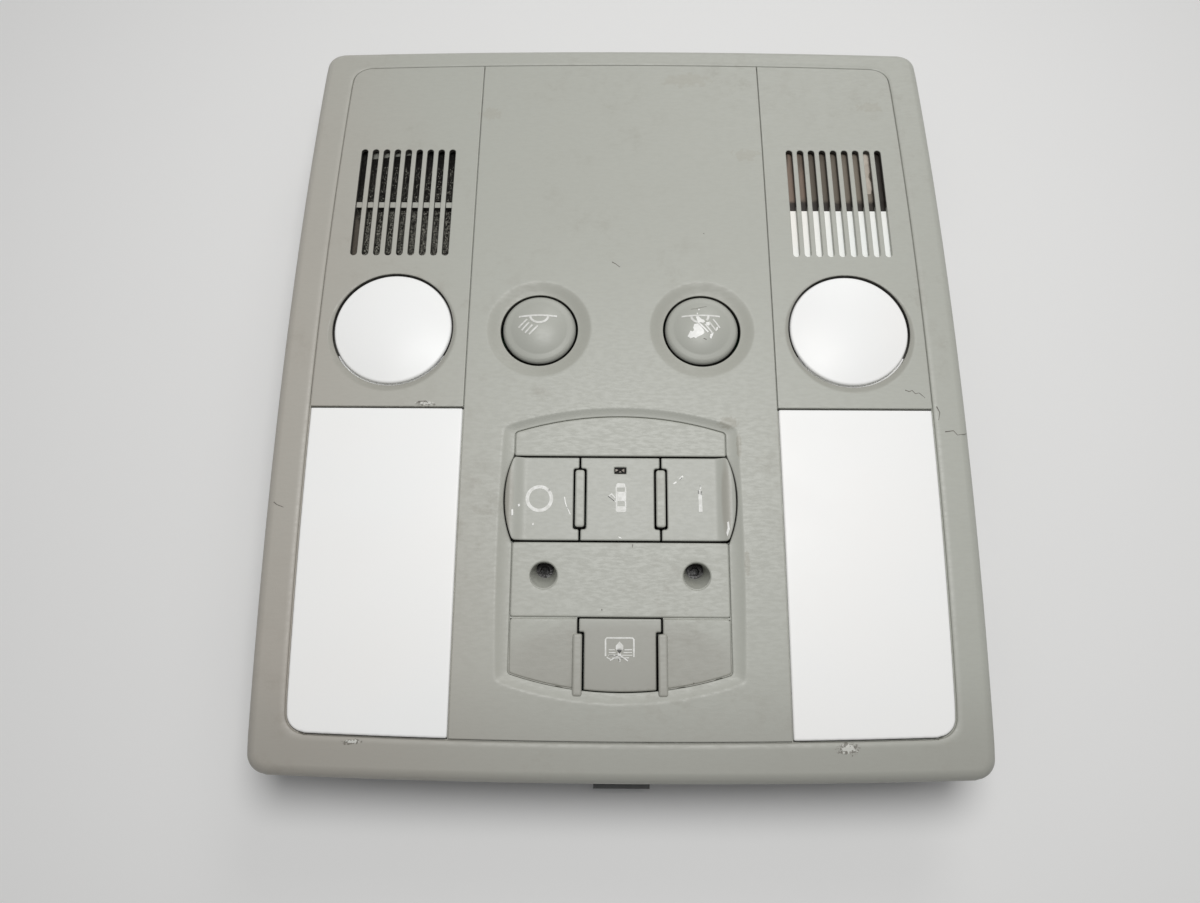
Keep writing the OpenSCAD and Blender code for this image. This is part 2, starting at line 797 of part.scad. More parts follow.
// Cuts a key block to its upper surface: flat, with a finger lip that rises and rolls over at one end
lip_start = 26;
lip_crest = keys_half - 1.7;
lip_steps = 8;
function lip_point(t) = [
    lip_start + (lip_crest - lip_start) * t,
    -recess_h + lip_h * (1 - cos(180 * t)) / 2
];
lip_roll = [
    [lip_crest + 0.9, lip_h - recess_h - 0.5],
    [keys_half + 0.2, lip_h - recess_h - 2],
    [keys_half + 0.2, -far / 4]
];
module lipped(lip)
    intersection() {
        children();
        translate([0, far / 2, 0])
            rotate([90, 0, 0])
                linear_extrude(height = far)
                    polygon(concat(
                        [[-far / 4, -far / 4], [-far / 4, -recess_h]],
                        lip ? [for (i = [0:lip_steps]) lip_point(i / lip_steps)] : [[lip_start, -recess_h]],
                        lip ? lip_roll : [[far / 4, -recess_h], [far / 4, -far / 4]]
                    ));
    }

switch_x = 23.7;
door_switch_y = keys_mid - 3;
blind_switch_y = -31;
module end_key(side)
    color(key_grey)
        group_frame()
            on_side(side) {
                key_cap(switch_x, keys_mid)
                    hollow_cap(true)
                        difference() {
                            key_row();
                            translate([-far + door_half + key_gap / 2, -far / 2]) square([far, far]);
                            rib_outline(key_gap);
                        }
            }

module off_key() end_key(-1);
module on_key() end_key(1);

window_y = 24.7;
window_w = 3.4;
window_l = 1.8;
module door_key()
    color(key_grey)
        group_frame()
            difference() {
                key_cap(0, door_switch_y)
                    hollow_cap(false)
                        difference() {
                            intersection() {
                                key_row();
                                square([2 * door_half - key_gap, far], center = true);
                            }
                            rib_outline(key_gap);
                        }
                group_slab(0, recess_h + key_t + 1)
                    translate([0, window_y]) square([window_w + 0.1, window_l + 0.1], center = true);
            }

module door_key_window()
    color([0.05, 0.05, 0.05])
        group_frame()
            group_slab(recess_h + 0.1, recess_h + key_t + 1.5)
                translate([0, window_y]) square([window_w, window_l], center = true);

module blind_key()
    color(key_grey)
        group_frame()
            key_cap(0, blind_switch_y)
                hollow_cap(false)
                    rounded(0.4) blind_outline();

// Reading button: a domed cap with a rounded edge, hollow below, with a stem above its push switch
button_edge_r = 1.6;
button_drop = 0.8;
button_skirt = 7;
module reading_button(side)
    color(key_grey)
        translate([side * button_x, button_y, button_z])
            rotate_extrude()
                polygon(concat(
                    dome(button_r - button_edge_r, button_rise, -button_drop, 8),
                    [for (a = [75:-15:0]) [button_r - button_edge_r + button_edge_r * cos(a),
                        -button_drop - button_edge_r + button_edge_r * sin(a)]],
                    [[button_r, -button_skirt], [button_r - skirt_t, -button_skirt],
                     [button_r - skirt_t, -button_drop - 1.6], [2, -button_drop - 0.4],
                     [2, switch_top_z + button_travel + stem_gap - button_z],
                     [0, switch_top_z + button_travel + stem_gap - button_z]]
                ));

// Rear housing: an open tray with a wall under the frame's inner edge, a channel for the roof bracket,
// bosses for the screws and posts for the circuit board
post_x = 38;
post_ys = [-96, 44];
holder_boss_r = holder_r + 2.4;
holder_boss_h = bowl_neck_z - seat;
socket_hole = 1;
wall_top_depth = shell_t + seat;
module rear_housing()
    color(housing_black)
        difference() {
            union() {
                below_face(wall_top_depth)
                    column(0, far / 8)
                        difference() {
                            inner_outline(wall_out);
                            inner_outline(-wall_in);
                        }
                column(0, floor_t) inner_outline(wall_out);
                column(0, channel_h + floor_t) channel_outline(floor_t);
                for (s = [-1, 1]) {
                    translate([s * screw_x, group_y + screw_axis_y, 0])
                        cylinder(r = boss_r, h = boss_top_z - seat);
                    translate([s * reading_x, reading_y, 0])
                        cylinder(r = holder_boss_r, h = holder_boss_h);
                    for (y = post_ys)
                        translate([s * post_x, y, 0])
                            cylinder(r = 3.4, h = board_z - board_t);
                    hook_shape(s * hook_x, upper_wall_y - 1, face_l / 2 + tongue_out, hook_w);
                }
                hook_shape(tongue_x, lower_wall_y + 1, -face_l / 2 - tongue_out, tongue_w);
            }
            column(-1, channel_h) channel_outline(0);
            for (s = [-1, 1]) {
                screw_hole(s);
                translate([s * reading_x, reading_y, -1]) cylinder(r = holder_r + 0.1, h = far / 8);
                for (y = post_ys)
                    translate([s * post_x, y, floor_t + 1]) cylinder(r = 1.15, h = far / 8);
            }
            column(-1, floor_t + 1)
                translate([0, socket_y])
                    square([socket_l + 2 * socket_hole, socket_w + 2 * socket_hole], center = true);
        }

module channel_outline(wall)
    translate([0, group_y + screw_axis_y])
        rounded(2)
            square([2 * (channel_half + wall), 2 * (channel_l + wall)], center = true);

tongue_z = 13;
tongue_x = 0.65;
hook_x = 60;
hook_w = 12;
hook_rib_h = 9;
hook_rib_t = 2;
hook_taper = 0.8;
hook_root_drop = 2;
lower_wall_y = -(inner_half_l + wall_out) + inner_mid_y;
upper_wall_y = inner_half_l + wall_out + inner_mid_y;
// A tapered tab with a rib below it that ties it to the wall
module hook_shape(x, wall_y, end_y, width) {
    run = end_y - wall_y;
    tab = [
        [0, -hook_root_drop], [run * 0.7, 0], [run, hook_taper], [run, tongue_t - hook_taper],
        [run * 0.9, tongue_t], [0, tongue_t]
    ];
    translate([x, wall_y, tongue_z])
        rotate([90, 0, 90]) {
            linear_extrude(height = width, center = true) polygon(tab);
            linear_extrude(height = hook_rib_t, center = true)
                polygon([[0, -hook_rib_h], [0, 0], [run * 0.8, 0]]);
        }
}

// Circuit board with holes for the screw bosses
boss_clear = 0.5;
post_hole_r = 1.3;
board_cut_h = 2.5 * board_t;
module circuit_board()
    color(board_green)
        translate([0, 0, board_z - board_t])
            difference() {
                linear_extrude(height = board_t)
                    rounded(2)
                        translate([-board_half, board_y0]) square([2 * board_half, board_y1 - board_y0]);
                for (s = [-1, 1]) {
                    translate([s * screw_x, group_y + screw_axis_y, -board_t / 2])
                        cylinder(r = boss_r + boss_clear, h = board_cut_h);
                    for (y = post_ys)
                        translate([s * post_x, y, -board_t / 2]) cylinder(r = post_hole_r, h = board_cut_h);
                }
            }

board_screw_head_r = 2.6;
board_screw_head_h = 1.8;
board_screw_r = 1.1;
board_screw_l = 7;
join = 0.01;
module board_screws()
    color(spring_steel)
        for (s = [-1, 1])
            for (y = post_ys)
                translate([s * post_x, y, board_z]) {
                    cylinder(r = board_screw_head_r, h = board_screw_head_h);
                    translate([0, 0, -board_screw_l])
                        cylinder(r = board_screw_r, h = board_screw_l + join);
                }

// Push switch: square body and round stem
module push_switch(x, y)
    color(switch_black)
        translate([x, y, board_z]) {
            translate([-switch_w / 2, -switch_w / 2, 0]) cube([switch_w, switch_w, switch_h]);
            cylinder(r = 1.7, h = switch_h + stem_h);
        }

module indicator_led()
    color([0.9, 0.9, 0.85])
        translate([-1.6, group_y + window_y - 0.8, board_z])
            cube([3.2, 1.6, 1.2]);

// Wiring socket: a shroud below the board that opens to the rear, with two rows of pins
socket_z0 = 1;
socket_wall = 1.5;
socket_depth = 11;
socket_web = board_z - board_t - socket_z0 - socket_depth;
module wiring_socket()
    color(housing_black)
        translate([0, socket_y, socket_z0])
            difference() {
                linear_extrude(height = board_z - board_t - socket_z0)
                    rounded(1) square([socket_l, socket_w], center = true);
                translate([0, 0, -1])
                    linear_extrude(height = socket_depth + 1)
                        rounded(0.6)
                            square([socket_l - 2 * socket_wall, socket_w - 2 * socket_wall], center = true);
                for (i = [0:pin_n - 1], s = [-1, 1])
                    translate([(i - (pin_n - 1) / 2) * pin_pitch, s * pin_pitch, socket_depth + socket_web / 2])
                        cube([pin_w + pin_clear, pin_w + pin_clear, 2.5 * socket_web], center = true);
            }
pin_w = 0.8;
pin_clear = 0.04;
pin_reach = 5;
pin_z0 = socket_z0 + socket_depth - pin_reach;
module socket_pins()
    color([0.8, 0.7, 0.4])
        for (i = [0:pin_n - 1], s = [-1, 1])
            translate([(i - (pin_n - 1) / 2) * pin_pitch, socket_y + s * pin_pitch, pin_z0])
                linear_extrude(height = board_z - board_t - pin_z0)
                    square(pin_w, center = true);

// Microphone behind the left grille, and the sensor behind the right one
foam_t = 3;
foam_depth = shell_t + 0.6 + seat;
grille_half = slot_n * slot_pitch / 2 + 1.5;
grille_mid_y = (slot_y0 + slot_y1) / 2;
grille_half_l = (slot_y1 - slot_y0) / 2 + 1.5;
module grille_pad(y0, y1) translate([slot_x - grille_half, y0]) square([2 * grille_half, y1 - y0]);
module microphone_foam()
    color(foam_black)
        on_side(-1)
            between(foam_depth, foam_depth + foam_t)
                column(0, far) grille_pad(grille_mid_y - grille_half_l, grille_mid_y + grille_half_l);

mic_z0 = floor_t + seat;
mic_top_z = face_z(grille_mid_y + grille_half_l) - foam_depth - foam_t - seat;
module microphone()
    color(switch_black)
        translate([-slot_x, grille_mid_y, mic_z0])
            difference() {
                linear_extrude(height = mic_top_z - mic_z0)
                    rounded(2) square([2 * grille_half, 2 * grille_half_l], center = true);
                translate([0, 0, 2])
                    linear_extrude(height = far)
                        rounded(2) square([2 * grille_half - 4, 2 * grille_half_l - 4], center = true);
            }

backing_t = 1.6;
backing_split = 60;
backing_y0 = grille_mid_y - grille_half_l;
backing_mid_y = (backing_y0 + backing_split) / 2;
backing_drop = 6;
module right_grille_backing()
    color(reflector_white)
        union() {
            between(shell_t + backing_drop, shell_t + backing_drop + backing_t)
                column(0, far) grille_pad(backing_y0, backing_split);
            for (s = [-1, 1])
                between(shell_t + seat, far / 2)
                    translate([slot_x + s * (grille_half - backing_t / 2), backing_mid_y, mic_z0])
                        linear_extrude(height = far)
                            square([backing_t, backing_split - backing_y0], center = true);
        }

sensor_r = 9;
sensor_h = 18;
sensor_gap = 0.6;
sensor_l = slot_y1 + 1 - backing_split;
module right_sensor()
    color([0.28, 0.25, 0.22])
        translate([slot_x, backing_split + sensor_gap, floor_t + seat]) {
            translate([-grille_half + sensor_gap, 0, 0])
                cube([2 * (grille_half - sensor_gap), sensor_l, sensor_h]);
            translate([0, 0, sensor_h])
                rotate([-90, 0, 0])
                    cylinder(r = sensor_r, h = sensor_l);
        }

// Mounting screws: a round head with a socket, a waisted shank in the boss and a thread that stands out of it
thread_gap = 0.4;
thread_l = screw_out - thread_gap;
shank_r = screw_r - 0.15;
shank_z0 = channel_h - thread_gap - 1;
head_z0 = well_z - well_seat_h + 0.05;
module mounting_screw(side)
    color(housing_black)
        translate([side * screw_x, group_y + screw_axis_y, 0])
            difference() {
                union() {
                    translate([0, 0, channel_h - screw_out]) cylinder(r = screw_r, h = thread_l);
                    translate([0, 0, shank_z0]) cylinder(r = shank_r, h = head_z0 + 0.5 - shank_z0);
                    translate([0, 0, head_z0]) cylinder(r = screw_head_r, h = screw_head_h - 0.1);
                }
                translate([0, 0, well_z - well_h - 1.5])
                    cylinder(r = 1.5, h = 4, $fn = 6);
            }

// Spring clip on the housing wall: a bent strip that bulges outwards
clip_w = 14;
clip_y = 55;
clip_t = 0.8;
clip_pts = [[-0.1, 5], [-0.1, 17], [2.4, 23], [5, 17], [2, 9]];
module spring_clip(side, y)
    color(spring_steel)
        on_side(side)
            translate([side_x(y, inner_half_w + wall_out, inner_half_l) + clip_t, y + clip_w / 2, 0])
                rotate([90, 0, 0])
                    linear_extrude(height = clip_w)
                        for (i = [0:len(clip_pts) - 2])
                            hull()
                                for (p = [clip_pts[i], clip_pts[i + 1]])
                                    translate(p) circle(r = clip_t / 2, $fn = 12);

outer_frame();
centre_panel();
side_panel(-1);  // left_side_panel
side_panel(1);  // right_side_panel
lamp_lens(-1);  // left_lamp_lens
lamp_lens(1);  // right_lamp_lens
reading_lens(-1);  // left_reading_lens
reading_lens(1);  // right_reading_lens
switch_surround();
reading_button(-1);  // left_reading_button
reading_button(1);  // right_reading_button
off_key();
door_key();
on_key();
blind_key();
door_key_window();
rear_housing();
lamp_reflector(-1);  // left_lamp_reflector
lamp_reflector(1);  // right_lamp_reflector
reading_reflector(-1);  // left_reading_reflector
reading_reflector(1);  // right_reading_reflector
lamp_bulb(-1);  // left_lamp_bulb
lamp_bulb(1);  // right_lamp_bulb
lamp_contacts(-1);  // left_lamp_contacts
lamp_contacts(1);  // right_lamp_contacts
reading_bulb(-1);  // left_reading_bulb
reading_bulb(1);  // right_reading_bulb
bulb_holder(-1);  // left_bulb_holder
bulb_holder(1);  // right_bulb_holder
circuit_board();
board_screws();
push_switch(-button_x, button_y);  // left_reading_switch
push_switch(button_x, button_y);  // right_reading_switch
push_switch(-switch_x, group_y + keys_mid);  // off_switch
push_switch(0, group_y + door_switch_y);  // door_switch
push_switch(switch_x, group_y + keys_mid);  // on_switch
push_switch(0, group_y + blind_switch_y);  // blind_switch
indicator_led();
wiring_socket();
socket_pins();
microphone();
microphone_foam();
right_sensor();
right_grille_backing();
mounting_screw(-1);  // left_mounting_screw
mounting_screw(1);  // right_mounting_screw
spring_clip(-1, clip_y);  // left_upper_clip
spring_clip(-1, -clip_y);  // left_lower_clip
spring_clip(1, clip_y);  // right_upper_clip
spring_clip(1, -clip_y);  // right_lower_clip
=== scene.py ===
import math
import bmesh
import bpy
import numpy as np
from mathutils import Matrix, Vector
from mathutils.geometry import delaunay_2d_cdt


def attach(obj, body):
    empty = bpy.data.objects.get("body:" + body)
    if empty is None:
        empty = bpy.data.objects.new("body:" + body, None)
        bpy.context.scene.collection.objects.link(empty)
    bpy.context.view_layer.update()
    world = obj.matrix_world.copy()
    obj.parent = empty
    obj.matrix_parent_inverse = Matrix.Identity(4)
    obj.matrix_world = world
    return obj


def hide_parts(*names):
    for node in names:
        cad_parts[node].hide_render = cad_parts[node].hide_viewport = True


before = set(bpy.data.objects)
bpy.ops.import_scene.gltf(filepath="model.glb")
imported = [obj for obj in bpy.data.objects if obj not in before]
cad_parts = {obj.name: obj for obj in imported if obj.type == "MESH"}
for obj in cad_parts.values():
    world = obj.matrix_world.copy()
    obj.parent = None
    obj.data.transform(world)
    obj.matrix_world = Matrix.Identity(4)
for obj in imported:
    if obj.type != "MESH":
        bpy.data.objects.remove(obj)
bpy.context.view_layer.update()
mm = 0.001
print("frame loaded")

# Camera, light and floor
shot = {
    "place": (-0.004139, -0.109487, 0.294757),
    "right": (0.99995374, 0.00753631, -0.0059766),
    "up": (-0.00544079, 0.95558684, 0.29465944),
    "forward": (-0.0079318, 0.29461329, -0.95558364),
    "lens": 26.4, "sensor": 36, "nearest": 0.01,
}
studio = {
    "world": 0.20, "aim": (0, 0, 0.02), "floorHalf": 3.0,
    "key": {"place": (0.035, 0.065, 0.60), "size": 0.34, "power": 2.16, "tint": (1.0, 0.998, 0.985)},
    "rim": {"place": (0.35, 1.15, 0.85), "size": 0.7, "power": 2.7, "tint": (1.0, 0.99, 0.97)},
}


def linked(name, data):
    obj = bpy.data.objects.new(name, data)
    bpy.context.collection.objects.link(obj)
    return obj


def makeCamera():
    data = bpy.data.cameras.new("photoCamera")
    data.lens = shot["lens"]
    data.sensor_width = shot["sensor"]
    data.sensor_fit = "HORIZONTAL"
    data.clip_start = shot["nearest"]
    camera = linked("photoCamera", data)
    turn = Matrix([shot["right"], shot["up"], [-v for v in shot["forward"]]]).transposed().to_4x4()
    camera.matrix_world = Matrix.Translation(shot["place"]) @ turn
    bpy.context.scene.camera = camera


def makeLamp(name, lamp):
    data = bpy.data.lights.new(name, "AREA")
    data.shape = "DISK"
    data.size = lamp["size"]
    data.energy = lamp["power"]
    data.color = lamp["tint"]
    aim = Vector(studio["aim"]) - Vector(lamp["place"])
    turn = aim.to_track_quat("-Z", "Y").to_matrix().to_4x4()
    linked(name, data).matrix_world = Matrix.Translation(lamp["place"]) @ turn


# Node helpers
def addNode(tree, kind, inputs=None, **settings):
    node = tree.nodes.new(kind)
    for key, value in settings.items():
        setattr(node, key, value)
    for key, value in (inputs or {}).items():
        if isinstance(value, bpy.types.NodeSocket):
            tree.links.new(value, node.inputs[key])
        else:
            node.inputs[key].default_value = value
    return node


# Group inputs take their kind from their value: number, vector or colour
def newGroup(name, inputs, outputs):
    group = bpy.data.node_groups.new(name, "ShaderNodeTree")
    for label, value in inputs.items():
        kind = {3: "Vector", 4: "Color"}[len(value)] if isinstance(value, tuple) else "Float"
        socket = group.interface.new_socket(name=label, in_out="INPUT", socket_type="NodeSocket" + kind)
        socket.default_value = value
    for label, kind in outputs.items():
        group.interface.new_socket(name=label, in_out="OUTPUT", socket_type="NodeSocket" + kind)
    return group, group.nodes.new("NodeGroupInput"), group.nodes.new("NodeGroupOutput")


def maths(tree, operation, a, b=0.0, clamp=False):
    return addNode(tree, "ShaderNodeMath", {0: a, 1: b}, operation=operation, use_clamp=clamp).outputs[0]


def vectorMaths(tree, operation, a, b):
    return addNode(tree, "ShaderNodeVectorMath", {0: a, 1: b}, operation=operation).outputs[0]


def ramp(tree, value, low, high, outLow=0.0, outHigh=1.0):
    return addNode(tree, "ShaderNodeMapRange", {
        "Value": value, "From Min": low, "From Max": high, "To Min": outLow, "To Max": outHigh
    }, interpolation_type="SMOOTHSTEP").outputs[0]


def mixColour(tree, factor, a, b):
    return addNode(tree, "ShaderNodeMix", {0: factor, 6: a, 7: b}, data_type="RGBA").outputs[2]


def objectPlace(tree):
    return addNode(tree, "ShaderNodeTexCoord").outputs["Object"]


def noise(tree, place, scale, detail=2.0, roughness=0.5):
    return addNode(tree, "ShaderNodeTexNoise", {
        "Vector": place, "Scale": scale, "Detail": detail, "Roughness": roughness}).outputs["Fac"]


def bumpOf(tree, strength, distance, height):
    return addNode(tree, "ShaderNodeBump", {
        "Strength": strength, "Distance": distance, "Height": height}).outputs[0]


def feed(tree, node, sockets):
    for key, socket in sockets.items():
        tree.links.new(socket, node.inputs[key])


# Moulded grain: fine wrinkles that run along X, with a pebble below them
def makeGrainGroup():
    group, start, end = newGroup("mouldedGrain", {"Fine": 900.0, "Stretch": 0.35, "Pebble": 2200.0},
                                 {"Height": "Float", "Tone": "Float"})
    place = objectPlace(group)
    stretch = addNode(group, "ShaderNodeCombineXYZ",
                      {"X": start.outputs["Stretch"], "Y": 1.0, "Z": 1.0}).outputs[0]
    streaks = noise(group, vectorMaths(group, "MULTIPLY", place, stretch), start.outputs["Fine"], 3.0, 0.6)
    pebble = addNode(group, "ShaderNodeTexVoronoi", {
        "Vector": place, "Scale": start.outputs["Pebble"]}, feature="SMOOTH_F1").outputs["Distance"]
    feed(group, end, {"Height": maths(group, "ADD", streaks, maths(group, "MULTIPLY", pebble, 0.5)),
                      "Tone": ramp(group, streaks, 0.35, 0.65)})
    return group


# Slow drift of tone over a moulding, painted shade that darkens its lower end, and thin dirt in soft patches
def makeDriftShadeGroup():
    group, start, end = newGroup("toneDriftAndShade", {
        "Near": (0.4, 0.4, 0.4, 1), "Warm": (0.4, 0.36, 0.33, 1), "Dirt": (0.2, 0.18, 0.15, 1),
        "Dirt Amount": 0.2, "Patch": 22.0}, {"Colour": "Color", "Dirty": "Float"})
    place = objectPlace(group)
    parts = addNode(group, "ShaderNodeSeparateXYZ", {0: place})
    slow = noise(group, place, start.outputs["Patch"], 4.0)
    lean = maths(group, "ADD", parts.outputs["X"], maths(group, "MULTIPLY", parts.outputs["Y"], 0.25))
    across = ramp(group, lean, -0.125, -0.03, 1.0, 0.0)
    warm = maths(group, "MULTIPLY", across, ramp(group, slow, 0.2, 0.75, 0.6, 1.0))
    base = mixColour(group, warm, start.outputs["Near"], start.outputs["Warm"])
    # painted shade towards the lower end
    low = ramp(group, parts.outputs["Y"], -0.122, -0.088, 0.46, 0.0)
    base = mixColour(group, low, base, (0.27, 0.262, 0.235, 1))
    fleck = ramp(group, noise(group, place, 160.0, 6.0, 0.7), 0.45, 0.8)
    patch = ramp(group, noise(group, place, 35.0, 3.0), 0.45, 0.7)
    dirty = maths(group, "MULTIPLY", maths(group, "MULTIPLY", fleck, patch),
                  start.outputs["Dirt Amount"], clamp=True)
    feed(group, end, {"Colour": mixColour(group, dirty, base, start.outputs["Dirt"]), "Dirty": dirty})
    return group


# A ragged spot at one place: stains, rubbed corners and pry marks
def makeSpotGroup():
    group, start, end = newGroup("raggedSpot", {
        "Centre": (0, 0, 0), "Half Size": (0.002, 0.002, 0.01), "Ragged": 0.5, "Tear Scale": 900.0,
        "Softness": 0.35}, {"Mask": "Float"})
    place = objectPlace(group)
    away = vectorMaths(group, "SUBTRACT", place, start.outputs["Centre"])
    unit = vectorMaths(group, "DIVIDE", away, start.outputs["Half Size"])
    reach = addNode(group, "ShaderNodeVectorMath", {0: unit}, operation="LENGTH").outputs["Value"]
    tear = noise(group, place, start.outputs["Tear Scale"], 4.0)
    torn = maths(group, "MULTIPLY", maths(group, "SUBTRACT", tear, 0.5), start.outputs["Ragged"])
    inner = maths(group, "SUBTRACT", 1.05, start.outputs["Softness"])
    feed(group, end, {"Mask": ramp(group, maths(group, "ADD", reach, torn), inner, 1.05, 1.0, 0.0)})
    return group


grainGroup = makeGrainGroup()
driftShadeGroup = makeDriftShadeGroup()
spotGroup = makeSpotGroup()


def newMaterial(name, settings):
    material = bpy.data.materials.new(name)
    material.use_nodes = True
    tree = material.node_tree
    shader = tree.nodes["Principled BSDF"]
    for key, value in settings.items():
        shader.inputs[key].default_value = value
    return material, tree, shader


def useGroup(tree, group, **values):
    node = tree.nodes.new("ShaderNodeGroup")
    node.node_tree = group
    for key, value in values.items():
        node.inputs[key.replace("_", " ")].default_value = value
    return node


# Each spot is a centre, half sizes and raggedness, and a softness where it isn't the usual one
def spotLayer(tree, colour, spots, tint, strength):
    for centre, half, ragged, *soft in spots:
        mask = useGroup(tree, spotGroup, Centre=[v * mm for v in centre], Half_Size=[v * mm for v in half],
                        Ragged=ragged, Tear_Scale=3600.0 / max(half[:2]), Softness=soft[0] if soft else 0.35)
        colour = mixColour(tree, maths(tree, "MULTIPLY", mask.outputs["Mask"], strength), colour, (*tint, 1))
    return colour


# Grained grey moulding: shells, pads and keys share it with their own values
def greyPlastic(name, look):
    material, tree, shader = newMaterial(name, {"IOR": 1.47, "Specular IOR Level": look["shine"]})
    drift = useGroup(tree, driftShadeGroup, Near=(*look["near"], 1), Warm=(*look["warm"], 1),
                     Dirt=(*look["dirt"], 1),
                     Dirt_Amount=look["dirtAmount"], Patch=look["patch"])
    grain = useGroup(tree, grainGroup, Fine=look["fine"], Stretch=look["stretch"], Pebble=look["pebble"])
    shaded = mixColour(tree, maths(tree, "MULTIPLY", grain.outputs["Tone"], look["mottle"]),
                       drift.outputs["Colour"], (0.30, 0.29, 0.26, 1))
    for spots, tint, strength in look["spots"]:
        shaded = spotLayer(tree, shaded, spots, tint, strength)
    rough = maths(tree, "ADD",
                  maths(tree, "MULTIPLY", grain.outputs["Tone"], look["roughVary"]), look["rough"])
    rough = maths(tree, "ADD", rough, maths(tree, "MULTIPLY", drift.outputs["Dirty"], 0.3), clamp=True)
    feed(tree, shader, {"Base Color": shaded, "Roughness": rough,
                        "Normal": bumpOf(tree, look["bump"], look["depth"], grain.outputs["Height"])})
    return material


shellLook = {
    "near": (0.424, 0.432, 0.391), "warm": (0.402, 0.366, 0.325), "dirt": (0.22, 0.19, 0.15),
    "dirtAmount": 0.35, "patch": 9.0, "fine": 1250.0, "stretch": 0.3, "pebble": 2600.0, "mottle": 0.08,
    "shine": 0.6, "rough": 0.40, "roughVary": 0.12, "bump": 0.36, "depth": 0.00005,
    # the dishes round the buttons and the round lenses as painted shade, then stains, worn paint, then the
    # pry marks and their cores
    "spots": [
        ([((x, 11.8, 35), (16.4, 16.4, 9), 0.02, 0.05) for x in (-26.35, 26.15)],
         (0.30, 0.295, 0.255), 0.34),
        ([((x, 10.65, 35), (20.2, 20.2, 9), 0.02, 0.05) for x in (-73.75, 73.55)],
         (0.29, 0.285, 0.25), 0.62),
        ([((33.6, -20.0, 34), (3.4, 2.0, 9), 1.6), ((36.6, -27.5, 34), (0.9, 4.5, 9), 1.2),
          ((37.8, -64.0, 34), (0.9, 4.0, 9), 1.4), ((22.0, 21.0, 35), (1.6, 0.8, 9), 2.0)],
         (0.25, 0.23, 0.18), 0.4),
        ([((23.1, 111.3, 34), (9, 3.5, 9), 2.0), ((43.0, 78.4, 34), (5, 2.5, 9), 2.4),
          ((-46.0, 96.0, 34), (4, 2.5, 9), 2.2), ((88.0, 99.0, 34), (5, 2.0, 9), 2.4)],
         (0.32, 0.29, 0.23), 0.22),
        ([((-61.2, -14.2, 35), (3.4, 0.9, 2), 2.4), ((64.6, -116.0, 32), (3.0, 1.7, 2), 2.6),
          ((-76.2, -115.2, 32), (2.6, 0.8, 2), 2.4)], (0.13, 0.12, 0.10), 0.85),
        ([((-61.2, -14.1, 35), (2.7, 0.6, 2), 2.6), ((64.6, -116.1, 32), (2.3, 1.1, 2), 2.8),
          ((-76.2, -115.1, 32), (2.0, 0.45, 2), 2.6)], (0.62, 0.62, 0.58), 0.9),
    ],
}
# painted shade along the slopes of the finger lips
lipShade = ([((32.2, -44.2, 34), (1.7, 14.5, 9), 0.2, 0.5), ((-34.2, -44.2, 34), (2.0, 14.5, 9), 0.2, 0.5)],
            (0.25, 0.225, 0.185), 0.42)
keyLook = dict(
    shellLook, near=(0.418, 0.426, 0.388), warm=(0.41, 0.395, 0.355), dirtAmount=0.15,
    mottle=0.04, shine=0.5,
    rough=0.37, roughVary=0.06, bump=0.07, depth=0.00002, fine=1600.0, spots=[lipShade])
# the lower pads and the blind key are browner than what is round them
lowerTint = [([((0, -93.5, 33), (40, 14.2, 9), 0.05)], (0.27, 0.255, 0.225), 0.42)]
shellPlastic = greyPlastic("grainedGreyShell", shellLook)
padPlastic = greyPlastic("grainedGreyPads", dict(shellLook, spots=lowerTint))
keyPlastic = greyPlastic("satinGreyKey", keyLook)
blindPlastic = greyPlastic("satinBlindKey", dict(keyLook, spots=lowerTint))
# near black grey that paints the shade in gaps, on slot walls and in hollows
shadedPlastic = greyPlastic("paintedShadeGrey", dict(
    shellLook, near=(0.055, 0.053, 0.047), warm=(0.05, 0.046, 0.04),
    dirt=(0.02, 0.018, 0.015), shine=0.3, spots=[]))


def opalPlastic(name, cool, warm, rough):
    material, tree, shader = newMaterial(name, {"IOR": 1.49, "Specular IOR Level": 0.4})
    place = objectPlace(tree)
    cloud = noise(tree, place, 18.0, 3.0)
    feed(tree, shader, {
        "Base Color": mixColour(tree, ramp(tree, cloud, 0.3, 0.7), (*cool, 1), (*warm, 1)),
        "Roughness": ramp(tree, noise(tree, place, 60.0, 5.0), 0.3, 0.75, rough, rough + 0.08),
        "Normal": bumpOf(tree, 0.08, 0.0002, cloud)})
    return material


opalLens = opalPlastic("opalLens", (0.965, 0.972, 0.972), (0.972, 0.968, 0.96), 0.34)
creamInner = opalPlastic("creamBacking", (0.90, 0.93, 0.92), (0.94, 0.91, 0.86), 0.4)
whiteInner = opalPlastic("whiteReflector", (0.84, 0.85, 0.85), (0.88, 0.87, 0.85), 0.22)


# Plain mouldings, metals and boards: a tone that drifts, fine scratches and a small bump
def plainFinish(name, light, dark, fine, rough, vary, bump, patch=40.0, stretch=1.0, metal=0.0, shine=0.5):
    material, tree, shader = newMaterial(name, {"Metallic": metal, "Specular IOR Level": shine})
    grain = useGroup(tree, grainGroup, Fine=fine, Stretch=stretch, Pebble=1500.0)
    slow = noise(tree, objectPlace(tree), patch, 4.0)
    varied = maths(tree, "MULTIPLY", grain.outputs["Tone"], vary)
    feed(tree, shader, {
        "Base Color": mixColour(tree, ramp(tree, slow, 0.35, 0.65), (*light, 1), (*dark, 1)),
        "Roughness": maths(tree, "ADD", varied, rough, clamp=True),
        "Normal": bumpOf(tree, bump, 0.00005, grain.outputs["Height"])})
    return material


